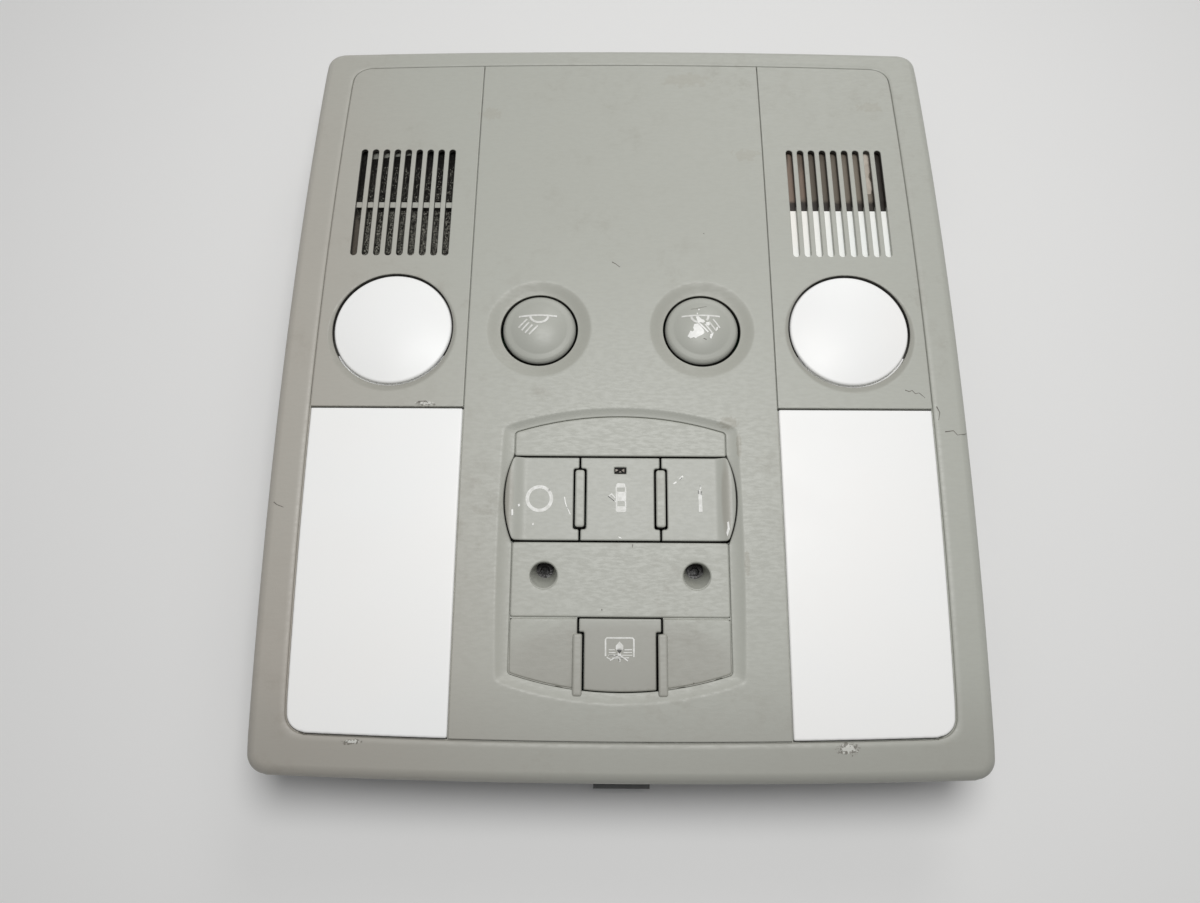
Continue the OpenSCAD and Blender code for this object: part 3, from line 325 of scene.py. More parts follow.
blackHousing = plainFinish("blackHousing", (0.022, 0.022, 0.023), (0.014, 0.014, 0.014),
                           500.0, 0.42, 0.15, 0.3)
blackParts = plainFinish("blackMouldings", (0.03, 0.03, 0.03), (0.018, 0.018, 0.018), 900.0, 0.35, 0.1, 0.2)
springSteel = plainFinish("springSteel", (0.62, 0.61, 0.59), (0.50, 0.49, 0.47), 1200.0, 0.25, 0.2, 0.15,
                          stretch=0.1, metal=1.0)
pinBrass = plainFinish("pinBrass", (0.72, 0.55, 0.28), (0.60, 0.45, 0.22), 1500.0,
                       0.22, 0.15, 0.1, metal=1.0)
boardLacquer = plainFinish("boardLacquer", (0.03, 0.14, 0.06), (0.02, 0.10, 0.045), 700.0, 0.28, 0.1, 0.15,
                           patch=120.0, stretch=0.2)
darkScrew = plainFinish("darkScrew", (0.010, 0.008, 0.007), (0.004, 0.003, 0.003), 1400.0, 0.3, 0.3, 0.4,
                        patch=300.0, shine=0.35)
darkWindow = plainFinish("smokedWindow", (0.010, 0.009, 0.008), (0.003, 0.003, 0.003), 2500.0, 0.5, 0.2, 0.2,
                         patch=900.0, shine=0.1)
sensorBrown = plainFinish("wornBrown", (0.30, 0.26, 0.22), (0.20, 0.17, 0.145), 500.0,
                          0.45, 0.15, 0.25, 60.0)
tornPaper = plainFinish("tornSticker", (0.60, 0.54, 0.47), (0.47, 0.42, 0.36), 1200.0, 0.7, 0.1, 0.5, 200.0)
dustyStrip = plainFinish("dustyStrip", (0.26, 0.265, 0.235), (0.19, 0.195, 0.17),
                         1500.0, 0.7, 0.1, 0.3, 300.0)
printWhite = plainFinish("printWhite", (0.80, 0.80, 0.78), (0.66, 0.66, 0.63), 3000.0,
                         0.35, 0.15, 0.2, 700.0)
chipWhite = plainFinish("chipWhite", (0.93, 0.93, 0.91), (0.84, 0.84, 0.82), 3000.0, 0.30, 0.2, 0.5, 900.0)
scratchDark = plainFinish("scratchDark", (0.16, 0.15, 0.13), (0.09, 0.08, 0.07),
                          3000.0, 0.6, 0.2, 0.4, 800.0)
foamCrumb = plainFinish("foamCrumbs", (0.50, 0.49, 0.43), (0.22, 0.21, 0.18), 3000.0, 0.8, 0.1, 0.3, 2500.0)


# Foam: nearly black open cells, dusty towards the lower end, with a worn patch
def foamFinish():
    material, tree, shader = newMaterial("openCellFoam", {"Roughness": 0.9, "Specular IOR Level": 0.15})
    place = objectPlace(tree)
    cells = addNode(tree, "ShaderNodeTexVoronoi", {"Vector": place, "Scale": 2300.0},
                    feature="DISTANCE_TO_EDGE")
    cells = cells.outputs["Distance"]
    fleck = ramp(tree, noise(tree, place, 1700.0, 3.0), 0.46, 0.6)
    wall = maths(tree, "MULTIPLY", ramp(tree, cells, 0.0, 0.2, 1.0, 0.0), fleck)
    low = addNode(tree, "ShaderNodeSeparateXYZ", {0: place}).outputs["Y"]
    worn = ramp(tree, low, 0.070, 0.046, 0.12, 1.0)
    colour = mixColour(tree, maths(tree, "MULTIPLY", wall, worn), (0.006, 0.0055, 0.005, 1),
                       (0.24, 0.235, 0.20, 1))
    colour = spotLayer(tree, colour, [((-92.5, 44.0, 31), (6.2, 13.5, 9), 0.3, 0.3)],
                       (0.115, 0.10, 0.083), 0.85)
    feed(tree, shader, {"Base Color": colour, "Normal": bumpOf(tree, 0.8, 0.0003, cells)})
    return material


# The face of the sensor: brown, with a rusty streak, painted shadow towards its left end, and near black
# along its lower edge and at its right end
def sensorFinish():
    material, tree, shader = newMaterial("rustyBrownFace", {"Roughness": 0.55, "Specular IOR Level": 0.35})
    place = objectPlace(tree)
    parts = addNode(tree, "ShaderNodeSeparateXYZ", {0: place})
    tear = maths(tree, "SUBTRACT", noise(tree, place, 330.0, 4.0), 0.5)
    streak = noise(tree, vectorMaths(tree, "MULTIPLY", place, (1.0, 0.12, 1.0)), 700.0, 4.0)
    x = maths(tree, "ADD", parts.outputs["X"], maths(tree, "MULTIPLY", tear, 0.005))
    y = maths(tree, "ADD", parts.outputs["Y"], maths(tree, "MULTIPLY", tear, 0.003))
    rusty = maths(tree, "MULTIPLY", ramp(tree, streak, 0.38, 0.6), ramp(tree, x, 0.066, 0.062, 0.0, 1.0))
    # painted shadow: darker towards the left end
    colour = mixColour(tree, ramp(tree, x, 0.066, 0.082), (0.105, 0.088, 0.068, 1), (0.20, 0.172, 0.138, 1))
    colour = mixColour(tree, rusty, colour, (0.215, 0.16, 0.125, 1))
    colour = mixColour(tree, ramp(tree, y, 0.0622, 0.0602, 0.0, 0.92), colour, (0.014, 0.010, 0.008, 1))
    colour = mixColour(tree, ramp(tree, x, 0.0862, 0.0866, 0.0, 0.96), colour, (0.012, 0.009, 0.006, 1))
    feed(tree, shader, {"Base Color": colour, "Normal": bumpOf(tree, 0.4, 0.0003, streak)})
    return material


def glassFinish():
    material, tree, shader = newMaterial("bulbGlass", {"IOR": 1.5, "Transmission Weight": 1.0})
    film = noise(tree, objectPlace(tree), 120.0, 3.0)
    feed(tree, shader, {"Roughness": ramp(tree, film, 0.3, 0.8, 0.02, 0.12),
                        "Base Color": mixColour(tree, film, (0.97, 0.98, 0.98, 1), (0.93, 0.93, 0.90, 1))})
    return material


openFoam = foamFinish()
rustyFace = sensorFinish()
bulbGlass = glassFinish()
print("materials made")


# Flat outlines, in millimetres
face = {
    "width": 216.4, "length": 252.2, "sideBow": 1.4, "endBow": 2.0, "cornerR": 6.0, "archR": 1535.0,
    "crown": 36.0, "frameSide": 10.6, "frameTop": 7.7, "frameBottom": 11.0, "shell": 2.2,
}
innerMidY = (face["frameBottom"] - face["frameTop"]) / 2
innerHalfL = face["length"] / 2 - (face["frameTop"] + face["frameBottom"]) / 2
innerHalfW = face["width"] / 2 - face["frameSide"]


def faceZ(y):
    return face["crown"] - face["archR"] + np.sqrt(face["archR"] ** 2 - np.square(y))


def archSurface(x, y):
    return faceZ(y) + 0 * x


def below(depth):
    return lambda x, y: faceZ(y) - depth


def bowAt(s, chord, rise):
    r = (chord * chord / 4 + rise * rise) / (2 * rise)
    return r - np.sqrt(r * r - s * s)


# Counterclockwise outline with bowed edges, starting at the middle of the lower edge
def bowedLoop(halfW, halfL, r, midY=0.0, counts=(26, 10, 60)):
    endN, cornerN, sideN = counts
    cx = halfW - bowAt(halfL - face["endBow"], 2 * halfL, face["sideBow"]) - r
    cy = halfL - bowAt(halfW - face["sideBow"], 2 * halfW, face["endBow"]) - r
    half = [(0.0, -halfL)]
    ends = [cx * i / endN for i in range(1, endN + 1)]
    turn = np.linspace(0, math.pi / 2, cornerN + 1)[1:]
    half += [(x, -(halfL - bowAt(x, 2 * halfW, face["endBow"]))) for x in ends]
    half += [(cx + r * math.sin(a), -cy - r * math.cos(a)) for a in turn]
    half += [(halfW - bowAt(y, 2 * halfL, face["sideBow"]), y)
             for y in np.linspace(-cy, cy, sideN + 1)[1:-1]]
    half += [(x, -y) for x, y in reversed(half[1:endN + cornerN + 1])]
    half += [(0.0, halfL)]
    points = half + [(-x, y) for x, y in reversed(half[1:-1])]
    return np.array([(x, y + midY) for x, y in points])


def innerLoop(out):
    return bowedLoop(innerHalfW + out, innerHalfL + out, face["cornerR"] + min(out, 0), innerMidY)


def clipLoop(loop, axis, value, keepAbove):
    kept, sign = [], 1 if keepAbove else -1
    for a, b in zip(loop, np.roll(loop, -1, axis=0)):
        da, db = sign * (a[axis] - value), sign * (b[axis] - value)
        if da >= 0:
            kept.append(a)
        if da * db < 0:
            kept.append(a + (b - a) * da / (da - db))
    return np.array(kept)


def roundCorners(loop, radii, sharp=25, steps=6):
    points, n = [], len(loop)
    for i in range(n):
        a, b, c = loop[i - 1], loop[i], loop[(i + 1) % n]
        u, v = (a - b) / np.linalg.norm(a - b), (c - b) / np.linalg.norm(c - b)
        turn = math.pi - math.acos(max(-1, min(1, float(u @ v))))
        r = radii if np.isscalar(radii) else radii.get(i, 0)
        if math.degrees(turn) < sharp or r <= 0:
            points.append(b)
            continue
        t = min(r * math.tan(turn / 2), 0.45 * np.linalg.norm(a - b), 0.45 * np.linalg.norm(c - b))
        p, q = b + u * t, b + v * t
        for s in np.linspace(0, 1, steps + 1):   # quadratic arc through the corner
            points.append((1 - s) ** 2 * p + 2 * s * (1 - s) * (b + (p + q - 2 * b) * 0.12) + s * s * q)
    return np.array(points)


def densify(loop, step):
    points = []
    for a, b in zip(loop, np.roll(loop, -1, axis=0)):
        n = max(1, int(math.ceil(np.linalg.norm(b - a) / step)))
        points += [a + (b - a) * i / n for i in range(n)]
    return np.array(points)


def circleLoop(cx, cy, r, n=96):
    a = np.linspace(0, 2 * math.pi, n, endpoint=False)
    return np.stack([cx + r * np.cos(a), cy + r * np.sin(a)], 1)


def boxLoop(x0, y0, x1, y1):
    return np.array([(x0, y0), (x1, y0), (x1, y1), (x0, y1)], float)


def slotLoop(cx, y0, y1, r, n=10):
    top = [(cx + r * math.cos(a), y1 - r + r * math.sin(a)) for a in np.linspace(0, math.pi, n)]
    low = [(cx - r * math.cos(a), y0 + r - r * math.sin(a)) for a in np.linspace(0, math.pi, n)]
    return densify(np.array(top + low), 1.6)


def insetLoop(loop, t):
    before = loop - np.roll(loop, 1, axis=0)
    after = np.roll(loop, -1, axis=0) - loop
    n1 = np.stack([-before[:, 1], before[:, 0]], 1) / np.linalg.norm(before, axis=1)[:, None]
    n2 = np.stack([-after[:, 1], after[:, 0]], 1) / np.linalg.norm(after, axis=1)[:, None]
    dot = np.clip((n1 * n2).sum(1), -0.6, 1)[:, None]
    return loop + t * (n1 + n2) / (1 + dot)


def loopDistance(points, loops):
    best = np.full(len(points), 1e9)
    for loop in loops:
        a, b = loop, np.roll(loop, -1, axis=0)
        d = b - a
        length = np.maximum((d * d).sum(1), 1e-12)
        for k in range(0, len(points), 4000):
            p = points[k:k + 4000, None, :]
            t = np.clip(((p - a) * d).sum(2) / length, 0, 1)
            gap = p - (a + t[..., None] * d)
            best[k:k + 4000] = np.minimum(best[k:k + 4000], np.sqrt((gap * gap).sum(2)).min(1))
    return best


def insideLoop(points, loop):
    inside = np.zeros(len(points), bool)
    x, y = points[:, 0], points[:, 1]
    for (x0, y0), (x1, y1) in zip(loop, np.roll(loop, -1, axis=0)):
        if y0 == y1:
            continue
        hit = ((y0 > y) != (y1 > y)) & (x < (x1 - x0) * (y - y0) / (y1 - y0) + x0)
        inside ^= hit
    return inside


def insideMaterial(points, loops):
    inside = insideLoop(points, loops[0])
    for hole in loops[1:]:
        inside &= ~insideLoop(points, hole)
    return inside


# Meshes
def smoothFaces(mesh, angle):
    mesh.polygons.foreach_set("use_smooth", [True] * len(mesh.polygons))
    mesh.set_sharp_from_angle(angle=math.radians(angle))


def addAreaNormals(obj):
    soften = obj.modifiers.new("areaNormals", "WEIGHTED_NORMAL")
    soften.keep_sharp = True
    soften.mode = "FACE_AREA"


def settle(obj, body, nodes=()):
    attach(obj, body)
    if nodes:
        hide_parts(*nodes)
    return obj


def finishPiece(name, form, material, body, nodes=(), place=None, weighted=True):
    points, faces = form
    mesh = bpy.data.meshes.new(name)
    points = np.asarray(points, float) * mm
    if place is not None:
        points = points @ np.array(place.to_3x3()).T + np.array(place.translation)
    mesh.from_pydata(points.tolist(), [], [tuple(int(i) for i in f) for f in faces])
    mesh.validate()
    mesh.update()
    smoothFaces(mesh, 40)
    mesh.materials.append(material)
    obj = linked(name, mesh)
    if weighted:
        addAreaNormals(obj)
    return settle(obj, body, nodes)


# Painted shade: a second, darker material on the faces that a rule picks; centres are in millimetres
def paintShade(piece, material, rule):
    mesh = piece.data
    mesh.materials.append(material)
    for polygon in mesh.polygons:
        if rule(polygon.center / mm, polygon.normal):
            polygon.material_index = len(mesh.materials) - 1


def growingTree(name, inputs):
    tree = bpy.data.node_groups.new(name, "GeometryNodeTree")
    tree.interface.new_socket(name="Geometry", in_out="OUTPUT", socket_type="NodeSocketGeometry")
    for label, kind in {"Geometry": "Geometry", **inputs, "Material": "Material"}.items():
        tree.interface.new_socket(name=label, in_out="INPUT", socket_type="NodeSocket" + kind)
    return tree, tree.nodes.new("NodeGroupInput"), tree.nodes.new("NodeGroupOutput")


# Every tree ends in Realize Instances and Set Material
def endTree(tree, start, end, grown):
    real = addNode(tree, "GeometryNodeRealizeInstances", {"Geometry": grown}).outputs["Geometry"]
    coated = addNode(tree, "GeometryNodeSetMaterial",
                     {"Geometry": real, "Material": start.outputs["Material"]})
    tree.links.new(coated.outputs["Geometry"], end.inputs["Geometry"])


def growPiece(name, tree, values, body, nodes=(), base=None):
    host = linked(name + "Base", base or bpy.data.meshes.new(name + "Base"))
    grow = host.modifiers.new("grow", "NODES")
    grow.node_group = tree
    for item in tree.interface.items_tree:
        if item.item_type == "SOCKET" and item.in_out == "INPUT" and item.name in values:
            grow[item.identifier] = values[item.name]
    mesh = bpy.data.meshes.new_from_object(host.evaluated_get(bpy.context.evaluated_depsgraph_get()))
    bpy.data.objects.remove(host)
    return settle(linked(name, mesh), body, nodes)


edgeAngles = np.radians([0, 25, 50, 70, 90])


# A closed shell over flat outlines: rounded top edges, walls, and a back that follows the front
def shellMesh(loops, height, thick, edge=(0.35, 0.35), rings=(), grid=4.0):
    wide, drop = edge
    loops = [loops[0]] + [hole[::-1] for hole in loops[1:]]
    points, edges = [], []

    def addLoop(loop):
        start = len(points)
        points.extend(loop.tolist())
        edges.extend((start + i, start + (i + 1) % len(loop)) for i in range(len(loop)))
        return list(range(start, start + len(loop)))

    borders = [addLoop(loop) for loop in loops]
    if wide > 0:
        for a in edgeAngles[1:]:
            for loop in loops:
                addLoop(insetLoop(loop, wide * (1 - math.cos(a))))
    lo, hi = loops[0].min(0), loops[0].max(0)
    gx = np.arange(lo[0] + grid / 2, hi[0], grid)
    gy = np.arange(lo[1] + grid / 2, hi[1], grid)
    extra = [np.array([(x, y) for x in gx for y in gy]).reshape(-1, 2)]
    extra = np.concatenate(extra + [np.asarray(ring) for ring in rings])
    near = loopDistance(extra, loops)
    extra = extra[insideMaterial(extra, loops) & (near > wide * 1.05 + 0.12)]
    points.extend(extra.tolist())
    made = delaunay_2d_cdt([Vector(p) for p in points], edges, [], 0, 1e-4, True)
    flat = np.array([tuple(v) for v in made[0]])
    tris = np.array([f for f in made[2] if len(f) == 3])
    tris = tris[insideMaterial(flat[tris].mean(1), loops)]
    a, b, c = flat[tris[:, 0]], flat[tris[:, 1]], flat[tris[:, 2]]
    area = (b - a)[:, 0] * (c - a)[:, 1] - (b - a)[:, 1] * (c - a)[:, 0]
    tris[area < 0] = tris[area < 0][:, ::-1]
    tris = tris[np.abs(area) > 1e-7]
    top = height(flat[:, 0], flat[:, 1])
    away = np.clip(loopDistance(flat, loops), 0, max(wide, 1e-6))
    turned = np.arccos(np.clip(1 - away / max(wide, 1e-6), -1, 1))
    fall = drop * (1 - np.sin(turned)) if wide > 0 else 0 * away
    n = len(flat)
    verts = np.concatenate([np.column_stack([flat, top - fall]), np.column_stack([flat, top - thick])])
    faces = tris.tolist() + (tris[:, ::-1] + n).tolist()
    where = {}
    for k, sources in enumerate(made[3]):
        for i in sources:
            where[i] = k
    for border in borders:
        line = [where[i] for i in border]
        for i, j in zip(line, line[1:] + line[:1]):
            if i != j:
                faces.append((i, i + n, j + n, j))
    used = np.unique(np.concatenate([np.ravel(f) for f in faces]))
    index = np.full(len(verts), -1)
    index[used] = np.arange(len(used))
    return verts[used], [[int(index[i]) for i in f] for f in faces]


# Rings with the same number of points, skinned in order and closed end to end
def ringMesh(rings, closed=True):
    n, m = len(rings[0]), len(rings)
    faces = []
    for j in range(m if closed else m - 1):
        a, b = j * n, ((j + 1) % m) * n
        faces += [(a + i, a + (i + 1) % n, b + (i + 1) % n, b + i) for i in range(n)]
    return np.concatenate(rings), faces


# A turned piece; the profile runs from the top of the axis outwards and back to the axis
def latheMesh(profile, cx, cy, cz, steps=96):
    verts, faces, rows = [], [], []
    for r, z in profile:
        if r < 1e-6:
            rows.append([len(verts)])
            verts.append((cx, cy, cz + z))
            continue
        rows.append(list(range(len(verts), len(verts) + steps)))
        angles = np.linspace(0, 2 * math.pi, steps, endpoint=False)
        verts += [(cx + r * math.cos(a), cy + r * math.sin(a), cz + z) for a in angles]
    for p, q in zip(rows, rows[1:] + ([rows[0]] if len(rows[0]) > 1 or len(rows[-1]) > 1 else [])):
        for i in range(steps):
            j = (i + 1) % steps
            corner = [p[i % len(p)], q[i % len(q)], q[j % len(q)], p[j % len(p)]]
            corner = list(dict.fromkeys(corner))
            if len(corner) > 2:
                faces.append(corner)
    return verts, faces


def joined(parts):
    verts, faces, start = [], [], 0
    for v, f in parts:
        verts.append(np.asarray(v, float))
        faces += [[i + start for i in face] for face in f]
        start += len(v)
    return np.concatenate(verts), faces


def boxMesh(x0, y0, z0, x1, y1, z1):
    verts = [(x, y, z) for z in (z0, z1) for y in (y0, y1) for x in (x0, x1)]
    return verts, [(0, 2, 3, 1), (4, 5, 7, 6), (0, 1, 5, 4), (2, 6, 7, 3), (0, 4, 6, 2), (1, 3, 7, 5)]


# Outer frame
frameLook = {
    "roll": 3.2, "shoulder": (1.7, 0.55), "rim": 9.0, "rimEdge": 0.3, "draft": 0.4, "wall": 2.2,
    "ledge": 0.33, "ledgeDepth": 0.95, "lensX": 49.6, "lensUp": 2.5,
}


def outerRing(inset):
    return bowedLoop(face["width"] / 2 - inset, face["length"] / 2 - inset,
                     max(face["cornerR"] - inset, 0.8))


def makeFrame():
    roll, wall, rim, draft = [frameLook[key] for key in ("roll", "wall", "rim", "draft")]
    wide, drop = frameLook["shoulder"]
    ledge = innerLoop(-frameLook["ledge"])
    lensUp = innerMidY - innerHalfL + frameLook["lensUp"]
    underLens = (np.abs(ledge[:, 0]) > frameLook["lensX"]) & (ledge[:, 1] < lensUp)
    ledgeDepth = np.where(underLens, face["shell"] - 0.1, frameLook["ledgeDepth"])
    section = [(ledge, face["shell"]), (ledge, ledgeDepth), (innerLoop(0.0), ledgeDepth)]
    for a in np.radians(np.arange(0, 91, 15)):
        section.append((innerLoop(wide * (1 - math.cos(a))), drop * (1 - math.sin(a))))
    for a in np.radians(np.arange(90, -1, -9)):
        section.append((outerRing(roll * (1 - math.cos(a))), roll * (1 - math.sin(a))))
    section += [(outerRing(draft), rim - frameLook["rimEdge"]),
                (outerRing(draft + frameLook["rimEdge"]), rim),
                (outerRing(draft + wall), rim)]
    for a in np.radians([0, 30, 60, 90]):
        section.append((outerRing(roll - (roll - wall) * math.cos(a)), roll - (roll - wall) * math.sin(a)))
    form = ringMesh([np.column_stack([ring, faceZ(ring[:, 1]) - depth]) for ring, depth in section])
    finishPiece("outerFrame", form, shellPlastic, "console", ["outer_frame"])


makeFrame()
print("frame made")

# Switch group measures, in its own tilted frame
group = {
    "y": -60.0, "recess": 1.6, "recessHalf": 37.0, "recessUp": 45.5, "recessDown": 45.6, "recessCorner": 5.0,
    "half": 32.6, "up": 42.0, "down": 41.1, "corner": 2.2, "arcR": 105.0,
    "keysUp": 28.75, "keysDown": 2.95, "keysHalf": 35.25, "bulge": 2.6, "doorHalf": 12.35, "gap": 0.5,
    "lipStart": 28.6, "lipCrest": 33.7, "lip": 1.45,
    "ribW": 2.9, "ribL": 17.8, "ribRise": 0.8, "lowRibX": 12.5, "lowRibW": 2.8, "lowRibL": 17.8,
    "blindUp": -20.2, "blindHead": 12.1, "blindHalf": 10.6, "headH": 3.9,
    "screwX": 22.9, "screwY": -7.7, "wellR": 4.0, "wellDepth": 7.0, "lean": 2.7,
}
groupZ = float(faceZ(group["y"]))
groupTilt = -math.asin(group["y"] / face["archR"])
groupPlace = Matrix.Translation((0, group["y"] * mm, groupZ * mm)) @ Matrix.Rotation(groupTilt, 4, "X")
keysMid = (group["keysUp"] + group["keysDown"]) / 2


def arcUp(x, top):
    return top - group["arcR"] + math.sqrt(group["arcR"] ** 2 - x * x)


def arcDown(x, low):
    return -low + group["arcR"] - math.sqrt(group["arcR"] ** 2 - x * x)


def lozengeLoop(half, up, down, corner, step=1.5):
    xs = np.linspace(-half, half, int(2 * half / step))
    low = [(x, arcDown(x, down)) for x in xs]
    high = [(x, arcUp(x, up)) for x in xs[::-1]]
    return densify(roundCorners(np.array(low + high), corner, steps=8), step)


def keyEdgeX(y, half):
    chord = group["keysUp"] - group["keysDown"]
    r = (chord ** 2 / 4 + group["bulge"] ** 2) / (2 * group["bulge"])
    return half - r + math.sqrt(r * r - (y - keysMid) ** 2)


def keyRowLoop(grow):
    low, high, half = group["keysDown"] - grow, group["keysUp"] + grow, group["keysHalf"] + grow
    right = [(keyEdgeX(y, half), y) for y in np.linspace(low, high, 15)]
    left = [(-x, y) for x, y in right[::-1]]
    return densify(roundCorners(np.array(right + left), 1.4), 1.5)


def blindLoop(grow):
    head, half = group["blindHead"] + grow, group["blindHalf"] + grow
    neck, top, low = group["blindUp"] - group["headH"] - grow, group["blindUp"] + grow, group["down"] + grow
    bottom = [(x, arcDown(x, low)) for x in np.linspace(-half, half, 13)]
    points = bottom + [(half, neck), (head, neck), (head, top), (-head, top), (-head, neck), (-half, neck)]
    return densify(roundCorners(np.array(points), 0.4, steps=4), 1.2)


insertLoop = lozengeLoop(group["half"], group["up"], group["down"], group["corner"])
recessLoop = lozengeLoop(group["recessHalf"], group["recessUp"], group["recessDown"], group["recessCorner"])
floorLoop = insetLoop(insertLoop, -0.5)
lift = np.array([0, group["y"]])


def signedDistance(points, loop):
    d = loopDistance(points, [loop])
    return np.where(insideLoop(points, loop), d, -d)


# Arch with the recess let into it and a soft shoulder between them
def recessedFace(x, y):
    points = np.column_stack([x, y])
    top = faceZ(y)
    near = (np.abs(x) < group["recessHalf"] + 6) & (np.abs(y - group["y"]) < group["recessUp"] + 6)
    p = points[near] - lift
    inner, outer = -signedDistance(p, floorLoop), signedDistance(p, recessLoop)
    part = np.clip(outer / np.maximum(inner + outer, 0.5), -1, 1)
    part = np.where(inner <= 0, 1, part)
    part = np.where(part > 0, 1.5 * part - 0.5 * part * part, 1.5 * part)
    plane = groupZ + (y[near] - group["y"]) * math.tan(groupTilt)
    low, high, soft = plane - group["recess"] * part, top[near], 0.2
    h = np.clip(0.5 + 0.5 * (high - low) / soft, 0, 1)
    result = top.copy()
    result[near] = high * (1 - h) + low * h - soft * h * (1 - h)
    return result


def dishDrop(x, y, cx, cy, inner, outer, depth):
    t = np.clip((outer - np.hypot(x - cx, y - cy)) / (outer - inner), 0, 1)
    return depth * (0.7 * t + 0.3 * t * t * (3 - 2 * t))


def dishRings(cx, cy, inner, outer, step=0.4, n=96):
    return [circleLoop(cx, cy, r, n) for r in np.arange(inner, outer + step, step)]


# Centre panel
bothSides = ((-1, "left"), (1, "right"))
seams = {"centre": 48.97, "side": 49.23, "lens": 49.33, "stripFrom": 48.98,
         "stripWide": 49.32, "stripThin": 49.22}
button = {
    "x": 26.25, "y": 11.8, "hole": 12.5, "dish": 16.9, "dishDepth": 1.5,
    "r": 11.85, "rise": 2.4, "drop": 0.8, "edge": 2.5, "offset": 0.35, "printDown": 0.2,
}
lampLens = {"top": -15.4, "inset": 0.55, "corner": 0.6, "skirt": 4.0, "tray": (50.5, 94.4, -111.3, -16.8)}
plungerLow = 21.75


def flipped(loops):
    return [loop[::-1] * (-1, 1) for loop in loops]


def inHole(at, hole):
    return math.hypot(abs(at.x) - hole["x"], at.y - hole["y"]) < hole["hole"] + 0.5


def centreSurface(x, y):
    z = recessedFace(x, y)
    for side in (-1, 1):
        z = z - dishDrop(x, y, side * button["x"], button["y"], button["hole"] + 0.3,
                         button["dish"], button["dishDepth"])
    return z


def makeCentrePanel():
    outer = clipLoop(clipLoop(innerLoop(-0.4), 0, -seams["centre"], True), 0, seams["centre"], False)
    outer = densify(outer, 2.0)
    # the opening is the insert's outline with the bulged ends of the key row
    bulged = []
    for x, y in densify(insetLoop(insertLoop, -0.15), 1.5):
        if group["keysDown"] - 0.4 < y < group["keysUp"] + 0.4 and abs(x) > 32:
            x = math.copysign(max(abs(x), keyEdgeX(y, group["keysHalf"] + 0.4)), x)
        bulged.append((x, y))
    opening = densify(np.array(bulged), 1.2) + lift
    holes = [circleLoop(side * button["x"], button["y"], button["hole"]) for side in (-1, 1)]
    rings = []
    for side in (-1, 1):
        rings += dishRings(side * button["x"], button["y"], button["hole"] + 0.5, button["dish"] + 0.6)
    rings += [densify(insetLoop(insertLoop, -d), 1.4) + lift for d in np.arange(0.75, 6.6, 0.42)]
    form = shellMesh([outer, opening] + holes, centreSurface, face["shell"], (0.3, 0.3), rings, 3.6)
    panel = finishPiece("centrePanel", form, shellPlastic, "console", ["centre_panel"])
    # painted shade on the walls of the button holes
    paintShade(panel, shadedPlastic, lambda at, normal: abs(normal.z) < 0.3 and inHole(at, button))


# Narrow strips below the lines between the fixed shells, so a line shows grey and not the dark inside
def makeSeamStrips():
    low, high, cut = innerMidY - innerHalfL + 0.6, innerMidY + innerHalfL - 1.6, lampLens["top"] + 0.3
    parts = []
    for side in (-1, 1):
        for far, y0, y1 in ((seams["stripWide"], low, cut - 0.6), (seams["stripThin"], cut, high)):
            x0, x1 = sorted((side * seams["stripFrom"], side * far))
            strip = densify(boxLoop(x0, y0, x1, y1), 3)
            parts.append(shellMesh([strip], below(frameLook["ledgeDepth"]), 0.8, (0, 0), [], 9.0))
    finishPiece("seamStrips", joined(parts), shellPlastic, "console")


makeCentrePanel()
makeSeamStrips()
print("centre panel made")

# Side panels
reading = {
    "x": 73.55, "y": 11.8, "r": 18.95, "rise": 2.0, "hole": 19.5, "dish": 20.75,
    "dishWide": 2.4, "dishLow": 1.15,
    "dishDepth": 1.3, "edge": 0.9, "edgeDrop": 0.8, "offset": 0.12, "shadeWallUp": 12, "shadeRimUp": 9,
}
grille = {
    "x": 73.5, "n": 9, "pitch": 3.81, "w": 2.2, "y0": 38.2, "y1": 80.5, "shell": 1.5,
    "barY": 58.6, "barHalf": 1.1, "shadeFrom": {-1: 37.7, 1: 57.5},
}


